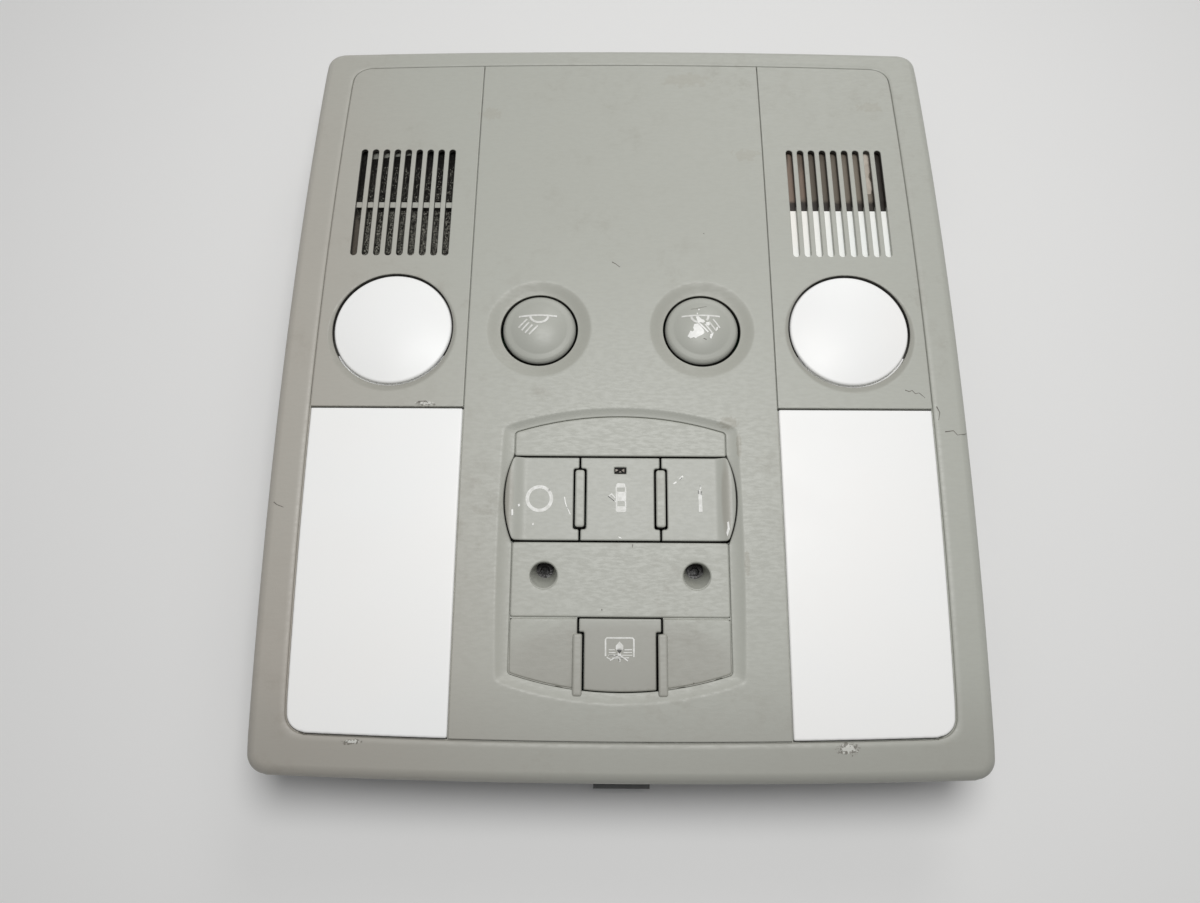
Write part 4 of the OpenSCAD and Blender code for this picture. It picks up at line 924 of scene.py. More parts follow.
def makeSidePanel(side, name, node):
    outer = clipLoop(clipLoop(innerLoop(-0.4), 0, seams["side"], True), 1, lampLens["top"] + 0.25, True)
    loops = [densify(outer, 2.0), circleLoop(reading["x"], reading["y"], reading["hole"], 120)]
    for i in range(grille["n"]):
        x = grille["x"] + (i - (grille["n"] - 1) / 2) * grille["pitch"]
        loops.append(slotLoop(x, grille["y0"], grille["y1"], grille["w"] / 2))
    if side < 0:
        loops = flipped(loops)
    x, y, outside = side * reading["x"], reading["y"] - reading["dishLow"], reading["dish"]
    inside = outside - reading["dishWide"]
    rings = dishRings(x, y, inside, outside + 0.5, 0.3, 120)

    def dished(px, py):
        return faceZ(py) - dishDrop(px, py, x, y, inside, outside, reading["dishDepth"])

    parts = [shellMesh(loops, dished, grille["shell"], (0.28, 0.28), rings, 3.6)]
    reach, up, tall = grille["n"] * grille["pitch"] / 2, grille["barY"], grille["barHalf"]
    if side < 0:   # stiffening bar across the back of the slots
        bar = densify(boxLoop(-grille["x"] - reach - 1, up - tall, -grille["x"] + reach + 1, up + tall), 2)
        parts.append(shellMesh([bar], below(grille["shell"] - 0.1), 1.2, (0.2, 0.2)))
    panel = finishPiece(name, joined(parts), shellPlastic, "console", [node])
    # painted shade on the slot walls, on the right panel only in their upper half
    paintShade(panel, shadedPlastic, lambda at, normal: abs(normal.z) < 0.4 and at.z < faceZ(at.y) - 0.3
           and grille["shadeFrom"][side] < at.y < grille["y1"] + 0.5
           and abs(abs(at.x) - grille["x"]) < reach)
    # painted shade on the upper part of the walls of the lens hole
    paintShade(panel, shadedPlastic, lambda at, normal: abs(normal.z) < 0.4 and at.z < faceZ(at.y) - 0.25
           and at.y > reading["y"] - reading["shadeWallUp"] and inHole(at, reading))


for side, word in bothSides:
    makeSidePanel(side, word + "SidePanel", word + "_side_panel")
print("side panels made")

# Scratches on the fixed shells
shellScratches = [
    [(-105.3, -46.1), (-104.3, -46.9), (-102.2, -47.7)], [(-2.8, 35.9), (-1.6, 35.2), (-0.2, 34.0)],
    [(89.3, -9.0), (90.6, -9.5), (91.5, -9.1), (92.4, -10.2), (93.6, -9.9), (95.3, -11.6)],
    [(98.6, -14.4), (99.4, -16.4), (98.8, -18.9)],
    [(100.4, -22.7), (103.0, -22.3), (104.1, -23.7), (107.0, -23.3)],
    [(27.6, 46.9), (28.0, 46.7)], [(-63.4, -13.6), (-61.0, -13.4), (-60.4, -14.0)],
]


def scratchChain(points, w):
    line = np.array(points, float)
    along = np.gradient(line, axis=0)
    along /= np.linalg.norm(along, axis=1)[:, None]
    side = np.stack([-along[:, 1], along[:, 0]], 1) * np.linspace(w, w * 0.5, len(line))[:, None] / 2
    return np.concatenate([line - side, (line + side)[::-1]])


def makeScratches():
    parts = [shellMesh([densify(scratchChain(points, 0.32), 0.6)], below(-0.02), 0.05, (0, 0), [], 2.0)
             for points in shellScratches]
    finishPiece("shellScratches", joined(parts), scratchDark, "console", weighted=False)


makeScratches()


# Lenses
def makeLampLens(side, name, node):
    outer = clipLoop(clipLoop(innerLoop(-lampLens["inset"]), 0, seams["lens"], True), 1,
                     lampLens["top"] - 0.25, False)
    outer = densify(roundCorners(outer, lampLens["corner"], sharp=45), 2.5)
    x0, x1, y0, y1 = lampLens["tray"]
    low = float(faceZ(y0)) - face["shell"] - lampLens["skirt"]
    skirt = densify(roundCorners(boxLoop(x0, y0, x1, y1), 4.5, steps=8), 4.0)
    inner = densify(roundCorners(boxLoop(x0 + 1.4, y0 + 1.4, x1 - 1.4, y1 - 1.4), 3.1, steps=8), 4.0)
    if side < 0:
        outer, skirt, inner = flipped((outer, skirt, inner))
    plate = shellMesh([outer], archSurface, face["shell"], (0.7, 0.6), [], 5.0)
    verts, faces = shellMesh([skirt, inner], below(face["shell"] - 0.2), 1.0, (0, 0), [], 60.0)
    under = verts[:, 2] < faceZ(verts[:, 1]) - face["shell"] - 0.5
    verts[under, 2] = low + 0.15
    finishPiece(name, joined([plate, (verts, faces)]), opalLens, "console", [node])


def domeProfile(r, rise, z, n):
    big = (r * r + rise * rise) / (2 * rise)
    return [(r * i / n, z + math.sqrt(big * big - (r * i / n) ** 2) - (big - rise)) for i in range(n + 1)]


def makeReadingLens(side, name, node):
    z, r, edge = float(faceZ(reading["y"])), reading["r"], reading["edge"]
    crown = domeProfile(r - edge, reading["rise"], 0.1 - reading["edgeDrop"], 20)
    low = crown[-1][1] - edge
    rolled = [(r - edge + edge * math.cos(a), low + edge * math.sin(a))
              for a in np.radians([68, 50, 32, 16, 0])]
    flange = [(r, -2.7), (r + 1.2, -2.7), (r + 1.2, -4.1), (r - 1.8, -4.1), (r - 1.8, -2.7), (0, -0.5)]
    form = latheMesh(crown + rolled + flange, side * reading["x"], reading["y"] + reading["offset"], z, 128)
    piece = finishPiece(name, form, opalLens, "console", [node])
    # painted shade under the upper part of the rim
    shadedAbove = reading["y"] - reading["shadeRimUp"]
    paintShade(piece, shadedPlastic, lambda at, normal: at.y > shadedAbove and at.z < z - 1.6)


for make, name, node in ((makeLampLens, "LampLens", "_lamp_lens"),
                         (makeReadingLens, "ReadingLens", "_reading_lens")):
    for side, word in bothSides:
        make(side, word + name, word + node)
print("lenses made")

# Reading buttons with their printed marks
buttonZ = float(faceZ(button["y"]))
crownR = button["r"] - button["edge"]
crownBig = (crownR ** 2 + button["rise"] ** 2) / (2 * button["rise"])


def buttonProfile():
    edge = button["edge"]
    crown = domeProfile(crownR, button["rise"], -button["drop"], 18)
    start = math.pi / 2 - math.asin(crownR / crownBig)
    cx = crown[-1][0] - edge * math.cos(start)
    cz = crown[-1][1] - edge * math.sin(start)
    grow = (button["r"] - cx) / edge
    for a in np.linspace(start, 0, 7)[1:]:
        crown.append((cx + edge * grow * math.cos(a), cz + edge * math.sin(a)))
    return crown


def buttonSurface(cx, cy):
    top = buttonZ - button["drop"] - (crownBig - button["rise"])
    return lambda x, y: top + np.sqrt(crownBig * crownBig - np.square(x - cx) - np.square(y - cy))


def makeButton(side, name, node, body):
    r, low = button["r"], plungerLow - buttonZ
    under = [(r, -7.0), (r - 1.1, -7.0), (r - 1.1, -2.6), (2.0, -1.2), (2.0, low), (0, low)]
    form = latheMesh(buttonProfile() + under, side * button["x"],
                     button["y"] + button["offset"], buttonZ, 128)
    piece = finishPiece(name, form, keyPlastic, body, [node])
    # painted shade on the side wall of the button
    paintShade(piece, shadedPlastic, lambda at, normal: abs(normal.z) < 0.25 and at.z < buttonZ - button["drop"])


# A straight bar from one point to another with a width, for each row of five numbers
def strokes(*rows):
    bars = []
    for x0, y0, x1, y1, w in rows:
        a, b = np.array((x0, y0), float), np.array((x1, y1), float)
        d = (b - a) / np.linalg.norm(b - a)
        n = np.array([-d[1], d[0]]) * w / 2
        bars.append(np.array([a - n, b - n, b + n, a + n]))
    return bars


def arcBand(cx, cy, rx, ry, w, start, end, n=28):
    angles = np.radians(np.linspace(start, end, n))
    outer = [(cx + rx * math.cos(a), cy + ry * math.sin(a)) for a in angles]
    inner = [(cx + (rx - w) * math.cos(a), cy + (ry - w) * math.sin(a)) for a in angles[::-1]]
    return np.array(outer + inner)


# Thin printed or chipped marks that follow the surface below them, each a little above the one before
def markPiece(name, shapes, surface, material, body, rise=0.02, place=None,
              offset=(0, 0)):
    parts = []
    for number, shape in enumerate(shapes):
        loops = shape if isinstance(shape[0], np.ndarray) and np.ndim(shape[0]) == 2 else [shape]
        loops = [densify(np.asarray(loop, float) + offset, 0.5) for loop in loops]
        fixed = []
        for loop in loops:
            x, y = loop[:, 0], loop[:, 1]
            turn = (x * np.roll(y, -1) - np.roll(x, -1) * y).sum()
            fixed.append(loop if turn > 0 else loop[::-1])
        above = rise + 0.003 * number
        parts.append(shellMesh(fixed, lambda x, y: surface(x, y) + above, 0.09, (0, 0), [], 1.0))
    return finishPiece(name, joined(parts), material, body, place=place, weighted=False)


lampIcon = {
    "left": [
        *strokes((-6.55, 3.62, 5.75, 3.78, 0.66)), arcBand(0.1, 3.4, 3.2, 2.6, 0.72, 180, 360),
        *strokes((-3.8, 2.4, -6.5, -0.35, 0.55), (-3.1, 1.2, -5.45, -1.4, 0.55),
                 (-2.0, 0.3, -4.3, -2.35, 0.55), (-0.25, -0.1, -3.0, -2.9, 0.55))],
    "right": [
        *strokes((-6.6, 3.95, 5.75, 3.9, 0.62)), arcBand(-0.75, 3.6, 3.05, 2.6, 0.7, 180, 262),
        arcBand(-0.75, 3.6, 3.05, 2.6, 0.7, 318, 360),
        *strokes((3.4, 2.7, 5.6, -0.3, 0.5), (2.1, 1.6, 4.3, -1.4, 0.5), (0.8, 0.7, 3.0, -2.2, 0.5))],
}
chipShapes = [
    [(-2.65, 0.75), (-1.5, 0.95), (-0.6, -0.1), (0.35, -1.3), (0.5, -2.4), (-0.3, -3.0),
     (-1.7, -3.6), (-2.3, -4.1), (-2.8, -3.6), (-3.9, -3.95), (-4.85, -3.2), (-4.4, -2.4),
     (-3.9, -1.4), (-3.3, -1.8), (-2.8, -1.4), (-3.05, -0.4)],
    [(-2.1, 3.5), (-1.2, 3.6), (-0.3, 2.5), (0.5, 2.2), (0.8, 1.5), (0.1, 1.1), (-0.6, 1.3),
     (-1.4, 1.0), (-1.7, 2.0)],
    [(1.1, 1.3), (1.9, 1.5), (2.4, 0.7), (1.9, 0.1), (1.2, 0.5)],
    [(2.4, -2.7), (3.5, -2.0), (3.2, -3.0), (2.6, -4.2), (2.2, -3.7)],
    [(4.4, -0.3), (4.9, 0.1), (4.9, -0.8), (4.2, -1.6)],
    [(-1.2, 6.5), (-0.8, 6.6), (-0.7, 6.1), (-1.1, 5.9)],
    [(-1.75, 4.9), (-1.4, 5.0), (-1.3, 4.4), (-1.7, 4.3)],
    [(-1.4, 1.0), (-0.7, 1.0), (1.9, -1.9), (1.5, -2.2)],
]
for side, word in bothSides:
    makeButton(side, word + "ReadingButton", word + "_reading_button", word + "_button")
leftAt, rightAt = [(side * button["x"], button["y"] + button["offset"]) for side in (-1, 1)]
leftPrint, rightPrint = [(x, y - button["printDown"]) for x, y in (leftAt, rightAt)]
buttonScratches = strokes((-3.5, 6.45, -1.7, 6.55, 0.14), (-1.7, 6.55, 1.6, 7.5, 0.16),
                          (0.2, -4.2, 1.2, -4.6, 0.2))
leftDome, rightDome = buttonSurface(*leftAt), buttonSurface(*rightAt)
markPiece("leftLampMark", lampIcon["left"], leftDome, printWhite, "left_button", 0.09, offset=leftPrint)
markPiece("rightLampMark", lampIcon["right"], rightDome, printWhite, "right_button", 0.09, offset=rightPrint)
markPiece("rightChips", chipShapes, rightDome, chipWhite, "right_button", 0.12, offset=rightPrint)
markPiece("rightScratches", buttonScratches, rightDome, scratchDark, "right_button", 0.03, offset=rightAt)
print("buttons made")

# Switch insert: pads, ribs, wells and key guides
padTop = -group["recess"]
insert = {
    "padThick": 2.2, "padEdge": (0.55, 0.5), "lowEdge": (0.6, 0.55), "groove": -20.0,
    "ribEdge": (0.6, 0.5), "ribDeep": 10.0, "lowRibEdge": (0.75, 0.6), "lowRibDeep": 2.9,
    "flange": -3.95, "flangeThick": 1.4, "guide": -5.3, "guideDeep": 6.7,
    "seamLow": 0.75, "seamThick": 0.7, "grooveLow": 0.6, "grooveThick": 0.8,
    "boreDark": 7.1, "underDark": 2.25, "padFall": 0.04, "fallLong": 40, "wellMid": 1.4, "wellReach": 5.2,
    "slotHalf": 13.4, "slotUp": -19.7, "slotDown": -44.0, "ribInner": 10.9, "ribUp": -24.5, "keyReach": 1.0,
}
keyForm = {
    "deep": 7.0, "edge": (0.5, 0.45), "grid": 2.4, "end": 35.3, "middle": 23.7,
    "lipReach": 2.6, "lipFall": 1.5,
    "plungerHalf": 1.5, "plungerUp": -5, "window": (-1.75, 23.75, 1.75, 25.65),
}
# depth and radius of the rings of a well: down its inside and back up its outside
wellRings = ((0.55, 4.0), (3.5, 3.35), (7.0, 2.6), (9.8, 2.6), (9.8, 4.3), (3.5, 4.6), (0.55, 4.4))


def flatAt(z):
    return lambda x, y: z + 0 * x


# The lower pads and the blind key fall away a little towards the lower end
def lowerPad(x, y):
    return padTop - insert["padFall"] * np.clip(insert["groove"] - y, 0, insert["fallLong"]) + 0 * x


# The walls of the screw wells keep the grey of the pads
def wellNear(at):
    x, y = abs(at.x) - group["screwX"], at.y - group["y"] - group["screwY"]
    return math.hypot(x, y - insert["wellMid"]) < insert["wellReach"]


# The gaps round the keys, apart from the lines round the pads; their walls get painted shade
def nearKeys(x, y):
    if abs(x) < insert["slotHalf"] and y < insert["slotUp"]:
        besideRib = insert["ribInner"] + group["lowRibW"] / 2 < abs(x) and y < insert["ribUp"]
        return y > insert["slotDown"] and not besideRib
    return group["keysDown"] - insert["keyReach"] < y < group["keysUp"] + insert["keyReach"]


def ribLoop(x, y0, y1, width, r):
    return densify(roundCorners(boxLoop(x - width / 2, y0, x + width / 2, y1), r), 1.5)


# Shallow bottoms of the lines around the pads; the gaps round the keys stay open
def seamBottoms(low, top, body):
    inner, outer = insetLoop(insertLoop, 0.1), insetLoop(insertLoop, -0.13)
    x, y = insertLoop[:, 0], insertLoop[:, 1]
    solid = ~((y > low - 0.2) & (y < top + 0.2)) & ~((y < -30) & (np.abs(x) < body + 0.6))
    parts = []
    for i in [i for i in range(len(x)) if solid[i] and not solid[i - 1]]:
        run = []
        while solid[i % len(x)] and len(run) < len(x):
            run.append(i % len(x))
            i += 1
        if len(run) > 1:
            strip = np.concatenate([outer[run], inner[run][::-1]])
            parts.append(shellMesh([strip], flatAt(padTop - insert["seamLow"]),
                                   insert["seamThick"], (0, 0), [], 9.0))
    return parts


def makeSurround():
    half, gap, thick, groove = group["half"], group["gap"], insert["padThick"], insert["groove"]
    top, low = group["keysUp"] + gap, group["keysDown"] - gap
    screwX, screwY = group["screwX"], group["screwY"]
    arc = [(x, arcUp(x, group["up"])) for x in np.linspace(half, -half, 40)]
    upper = roundCorners(np.array([(-half, top), (half, top)] + arc), {0: 0.5, 1: 0.5, 2: 2.2, 41: 2.2})
    screwPad = densify(roundCorners(boxLoop(-half, groove + 0.2, half, low), 0.8), 1.5)
    wells = [circleLoop(side * screwX, screwY + 0.1, group["wellR"], 64) for side in (-1, 1)]
    parts = [shellMesh([loop] + holes, flatAt(padTop), thick, insert["padEdge"], [], 4.0)
             for loop, holes in ((densify(upper, 1.5), []), (screwPad, wells))]
    head, body = group["blindHead"] + gap, group["blindHalf"] + gap
    neck = group["blindUp"] - group["headH"] - gap
    arc = [(x, arcDown(x, group["down"])) for x in np.linspace(body, half, 14)]
    lower = np.array([(head, groove - 0.2), (head, neck), (body, neck)] + arc + [(half, groove - 0.2)])
    lower = densify(roundCorners(lower, {0: 0.3, 1: 0.3, 2: 0.3, 3: 0.3, 16: 2.2, 17: 1.0}), 1.4)
    ribTop = flatAt(padTop + group["ribRise"])
    for side in (-1, 1):
        loop = lower if side > 0 else lower[::-1] * (-1, 1)
        parts.append(shellMesh([loop], lowerPad, thick, insert["lowEdge"], [], 4.0))
        reach = group["ribL"] / 2
        rib = ribLoop(side * group["doorHalf"], keysMid - reach, keysMid + reach, group["ribW"], 0.8)
        parts.append(shellMesh([rib], ribTop, insert["ribDeep"], insert["ribEdge"], [], 3.0))
        rib = ribLoop(side * group["lowRibX"], neck - group["lowRibL"], neck, group["lowRibW"], 0.7)
        parts.append(shellMesh([rib], ribTop, insert["lowRibDeep"], insert["lowRibEdge"], [], 3.0))
    windows = [keyRowLoop(gap), blindLoop(gap)]
    bores = [circleLoop(side * screwX, screwY + 1.3, 4.0, 48) for side in (-1, 1)]
    flange = densify(insetLoop(insertLoop, -1.6), 4)
    parts.append(shellMesh([flange] + windows + bores, flatAt(insert["flange"]),
                           insert["flangeThick"], (0, 0), [], 8.0))
    for window in windows:
        guide = [insetLoop(window, -1.2), window]
        parts.append(shellMesh(guide, flatAt(insert["guide"]), insert["guideDeep"], (0, 0), [], 30.0))
    parts += seamBottoms(low, top, body)
    for side in (-1, 1):
        ends = sorted((side * (head + 0.05), side * (half + 0.05)))
        strip = densify(boxLoop(ends[0], groove - 0.25, ends[1], groove + 0.25), 3)
        parts.append(shellMesh([strip], flatAt(padTop - insert["grooveLow"]),
                               insert["grooveThick"], (0, 0), [], 9.0))
    # leaning wells that end in an upright bore for the screw head
    for side in (-1, 1):
        rings = []
        for depth, r in wellRings:
            shift = 0.1 + group["lean"] * min(depth, group["wellDepth"]) / group["wellDepth"]
            ring = circleLoop(side * screwX, screwY + shift, r, 64)
            rings.append(np.column_stack([ring, np.full(64, padTop - depth)]))
        parts.append(ringMesh(rings[::-1]))
    piece = finishPiece("switchSurround", joined(parts), padPlastic, "console",
                        ["switch_surround"], groupPlace)
    lowest = groupZ + padTop - insert["underDark"]
    deep = groupZ + padTop - insert["boreDark"]
    # painted shade on the underside, the flange and the key guides
    paintShade(piece, shadedPlastic,
           lambda at, normal: not wellNear(at)
           and at.z < lowest - insert["padFall"] * abs(at.y - group["y"]))
    # painted shade on the walls of the gaps round the keys
    paintShade(piece, shadedPlastic,
           lambda at, normal: abs(normal.z) < 0.35 and nearKeys(at.x, at.y - group["y"]))
    # painted shade: the deep bore walls take the screw's near black
    paintShade(piece, darkScrew, lambda at, normal: wellNear(at) and at.z < deep)


makeSurround()
print("switch insert made")


# Keys
def lipHeight(x, y):
    ax = np.abs(x)
    t = np.clip((ax - group["lipStart"]) / (group["lipCrest"] - group["lipStart"]), 0, 1)
    rise = group["lip"] * t * t * (3 - 2 * t)
    past = np.clip((ax - group["lipCrest"]) / keyForm["lipReach"], 0, 1)
    return padTop + rise - keyForm["lipFall"] * past ** 2


def keyLoop(x0, x1, notchLeft, notchRight):
    half = group["ribL"] / 2 + group["gap"]
    cut = group["ribW"] / 2 + group["gap"]
    low, high = group["keysDown"], group["keysUp"]

    def edge(x, notch, up):
        if not notch:
            ys = np.linspace(low, high, 15)
            return [(math.copysign(keyEdgeX(y, group["keysHalf"]), x), y) for y in (ys if up else ys[::-1])]
        inner = math.copysign(group["doorHalf"], x) + (cut if (x1 + x0) / 2 > x else -cut)
        y0, y1 = keysMid - half, keysMid + half
        points = [(x, low), (x, y0), (inner, y0), (inner, y1), (x, y1), (x, high)]
        return points if up else points[::-1]

    points = edge(x1, notchRight, True) + edge(x0, notchLeft, False)
    radius = {}
    for i, (x, y) in enumerate(points):
        radius[i] = 0.6 if abs(y - keysMid) < half + 0.01 else (1.2 if abs(x) > 30 else 0.35)
    return densify(roundCorners(np.array(points), radius), 1.3)


def makeKey(name, node, loop, surface, body, plunger, holes=(), rings=(), material=keyPlastic):
    px, py = plunger
    half = keyForm["plungerHalf"]
    low = -(groupZ + py * math.sin(groupTilt) - plungerLow) / math.cos(groupTilt)
    form = joined([shellMesh([loop] + list(holes), surface, keyForm["deep"], keyForm["edge"],
                             rings, keyForm["grid"]),
                   boxMesh(px - half, py - half, low, px + half, py + half, keyForm["plungerUp"])])
    piece = finishPiece(name, form, material, body, [node], groupPlace)
    # painted shade on the side walls of the key
    paintShade(piece, shadedPlastic, lambda at, normal: abs(normal.z) < 0.25)


lipRows = np.linspace(group["keysDown"] + 0.6, group["keysUp"] - 0.6, 26)
lipLines = [np.column_stack([np.full(26, x), lipRows]) for x in np.arange(26.5, 35.2, 0.45)]
innerX, keyEnd, keyMiddle = group["doorHalf"] + group["gap"] / 2, keyForm["end"], keyForm["middle"]
doorX = innerX - group["gap"]
doorWindow = densify(boxLoop(*keyForm["window"]), 0.6)
makeKey("offKey", "off_key", keyLoop(-keyEnd, -innerX, False, True), lipHeight, "off_key_body",
        (-keyMiddle, keysMid), rings=[line * (-1, 1) for line in lipLines])
makeKey("onKey", "on_key", keyLoop(innerX, keyEnd, True, False), lipHeight, "on_key_body",
        (keyMiddle, keysMid), rings=lipLines)
makeKey("doorKey", "door_key", keyLoop(-doorX, doorX, True, True), flatAt(padTop), "door_key_body",
        (0, keysMid - 3), [doorWindow])
makeKey("blindKey", "blind_key", blindLoop(0), lowerPad, "blind_key_body", (0, -31), material=blindPlastic)

# Marks, chips and specks of the switch group
ringMark = [circleLoop(-24.7, 15.75, 4.2, 48), circleLoop(-24.7, 15.75, 3.15, 48)]
barMark = strokes((24.45, 11.9, 24.3, 18.7, 1.1), (24.5, 18.9, 24.55, 20.2, 0.35))
carMark = [
    roundCorners(np.array([(-1.35, 11.7), (1.75, 11.7), (1.85, 13.5), (-1.4, 13.5)]), 0.6),
    np.array([(-0.8, 15.1), (1.3, 15.1), (1.4, 18.0), (-0.9, 18.0)]),
] + strokes(
    (-1.2, 13.3, -1.05, 15.3, 0.42), (1.65, 13.3, 1.55, 15.3, 0.42), (-1.1, 14.9, -1.15, 18.2, 0.5),
    (1.5, 14.9, 1.6, 18.2, 0.5),
) + [roundCorners(np.array([(-1.4, 19.3), (1.7, 19.3), (1.35, 20.7), (-1.1, 20.7)]), 0.55)] + strokes(
    (-1.25, 18.0, -1.25, 19.6, 0.42), (1.6, 18.0, 1.6, 19.6, 0.42),
    (-1.2, 14.7, -3.7, 16.8, 0.42), (-1.5, 16.0, -2.7, 17.4, 0.34), (-3.5, 16.7, -2.5, 17.5, 0.32))
blindMark = strokes(
    (-4.0, -25.75, 3.8, -25.75, 0.46), (-4.25, -26.1, -4.25, -31.0, 0.46), (4.05, -26.1, 4.05, -31.2, 0.46),
    (-4.35, -26.3, -3.9, -25.8, 0.4), (4.15, -26.3, 3.7, -25.8, 0.4),
) + [np.array([(-0.15, -26.75), (0.95, -27.95), (0.95, -28.9), (0.75, -29.2), (-0.15, -30.1), (-1.05, -29.2),
               (-1.25, -28.9), (-1.25, -27.95)])] + strokes(
    (-3.3, -29.15, -1.6, -29.15, 0.28), (1.3, -29.15, 3.5, -29.1, 0.28), (-3.3, -29.95, -1.3, -29.95, 0.28),
    (1.0, -29.95, 3.5, -29.9, 0.28), (-3.4, -30.75, -0.2, -30.6, 0.3), (0.6, -30.7, 3.6, -30.7, 0.3),
    (-2.9, -32.2, 0.3, -30.3, 0.36), (-0.7, -30.2, 2.3, -32.3, 0.36), (-3.9, -31.3, -2.8, -31.9, 0.3),
    (-2.2, -31.5, 2.6, -31.4, 0.26),
) + [np.array([(-0.5, -31.6), (0.2, -31.6), (0.1, -32.6), (-0.3, -32.6)])]
offChips = strokes((-17.05, 16.3, -16.6, 14.0, 0.28), (-16.6, 14.1, -15.2, 10.9, 0.24)) + [
    [(-31.2, 13.8), (-30.6, 14.0), (-30.5, 13.3), (-31.0, 13.1)],
    [(-33.0, 12.0), (-32.5, 12.2), (-32.4, 10.4), (-32.9, 10.2)],
    [(-26.7, 8.0), (-26.3, 8.2), (-26.2, 7.6), (-26.6, 7.5)]]
onChips = strokes((16.3, 20.6, 17.2, 21.2, 0.4), (18.1, 21.9, 19.2, 23.1, 0.45)) + [
    [(32.2, 8.6), (32.7, 8.8), (32.9, 6.5), (32.2, 4.2), (31.9, 5.4), (32.3, 6.9)]]
doorChips = [[(-0.7, 4.2), (0.1, 4.0), (0.5, 3.6), (-0.2, 3.7)]]
windowMarks = [np.array([(-1.5, 25.2), (-0.6, 24.9), (-1.5, 24.3)]),
               np.array([(1.2, 25.3), (1.2, 24.2), (0.4, 24.8)]),
               np.array([(-0.5, 24.15), (0.4, 24.15), (0.0, 24.5)])]
padSpecks = [[(-5.6, -17.5), (-5.3, -17.4), (-5.2, -17.8), (-5.5, -17.9)],
             [(3.6, 1.9), (3.85, 1.8), (3.75, 1.0), (3.55, 0.8)]]
lowerSpecks = [[(21.2, -38.3), (21.5, -38.2), (21.6, -38.5), (21.3, -38.6)]]
onPad, inWindow = flatAt(padTop), flatAt(padTop - 0.08)
for name, shapes, surface, material, body, rise in (
        ("offMark", [ringMark], lipHeight, printWhite, "off_key_body", 0.06),
        ("onMark", barMark, lipHeight, printWhite, "on_key_body", 0.12),
        ("doorMark", carMark, onPad, printWhite, "door_key_body", 0.05),
        ("blindMark", blindMark, lowerPad, printWhite, "blind_key_body", 0.05),
        ("offChips", offChips, lipHeight, chipWhite, "off_key_body", 0.07),
        ("onChips", onChips, lipHeight, chipWhite, "on_key_body", 0.07),
        ("doorChips", doorChips, onPad, chipWhite, "door_key_body", 0.07),
        ("windowMarks", windowMarks, inWindow, sensorBrown, "door_key_body", 0.02)):
    markPiece(name, shapes, surface, material, body, rise, groupPlace)
markPiece("padSpecks", padSpecks, onPad, scratchDark, "console", place=groupPlace)
markPiece("lowerPadSpecks", lowerSpecks, lowerPad, scratchDark, "console", place=groupPlace)
print("keys made")


# Carried-over CAD nodes
def refinedCopy(node, material, bevel=0.0):
    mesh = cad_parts[node].data.copy()
    bm = bmesh.new()
    bm.from_mesh(mesh)
    bmesh.ops.remove_doubles(bm, verts=bm.verts, dist=1e-6)
    bmesh.ops.dissolve_limit(bm, angle_limit=math.radians(0.3), verts=bm.verts, edges=bm.edges)
    bm.to_mesh(mesh)
    bm.free()
    mesh.materials.clear()
    mesh.materials.append(material)
    smoothFaces(mesh, 32)
    obj = linked(node.replace("_", " ").title().replace(" ", ""), mesh)
    if bevel:
        rounding = obj.modifiers.new("edges", "BEVEL")
        rounding.width = bevel * mm
        rounding.segments = 2
        rounding.limit_method = "ANGLE"
        rounding.angle_limit = math.radians(40)
        rounding.harden_normals = False
    addAreaNormals(obj)
    settle(obj, "console", [node])


for nodes, material, slotName, bevel in (
        (["rear_housing"], blackHousing, "black_housing", 0.0),
        (["left_mounting_screw", "right_mounting_screw"], darkScrew, "dark_screw", 0.12),
        (["left_bulb_holder", "right_bulb_holder"], blackParts, "black_parts", 0.25),
        (["wiring_socket"], blackParts, "black_parts", 0.2),
        (["left_upper_clip", "left_lower_clip", "right_upper_clip", "right_lower_clip"],
         springSteel, "spring_metal", 0.0),
        (["left_lamp_reflector", "right_lamp_reflector"], whiteInner, "white_inner", 0.0)):
    for node in nodes:
        refinedCopy(node, material, bevel)

plainNodes = {
    bulbGlass: ["left_lamp_bulb", "right_lamp_bulb", "left_reading_bulb", "right_reading_bulb"],
    springSteel: ["left_lamp_contacts", "right_lamp_contacts", "board_screws"],
    creamInner: ["right_grille_backing"],
    whiteInner: ["left_reading_reflector", "right_reading_reflector", "indicator_led"],
    boardLacquer: ["circuit_board"],
    blackParts: ["left_reading_switch", "right_reading_switch", "off_switch", "door_switch", "on_switch",
                 "blind_switch", "microphone"],
    openFoam: ["microphone_foam"], darkWindow: ["door_key_window"],
}
for material, nodes in plainNodes.items():
    for node in nodes:
        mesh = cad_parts[node].data
        mesh.materials.clear()
        mesh.materials.append(material)
print("inner pieces finished")

# What shows through the grilles: the sensor's face with a torn sticker, the pale baffle,
# and a strip on the foam
sensor = {
    "face": (56.0, 57.3, 91.5, 82.0), "below": 2.4, "thick": 3.0, "stickerBelow": 2.28, "stickerThick": 0.16,
    "sticker": [(84.2, 64.0), (85.6, 64.1), (86.1, 65.7), (86.9, 66.8), (86.7, 68.6), (85.9, 69.4),
                (85.5, 71.1), (85.9, 72.7), (86.9, 73.7), (87.6, 74.3), (87.7, 76.4), (87.6, 79.6),
                (87.4, 81.9), (84.2, 81.9)],
    "strip": [(-88.2, 78.0), (-73.2, 80.0), (-73.4, 83.6), (-88.4, 83.6)],
    "stripBelow": 2.7, "stripThick": 0.4,
    "baffle": (55.2, 37.0, 91.8, 56.7), "baffleThick": 1.0,
}


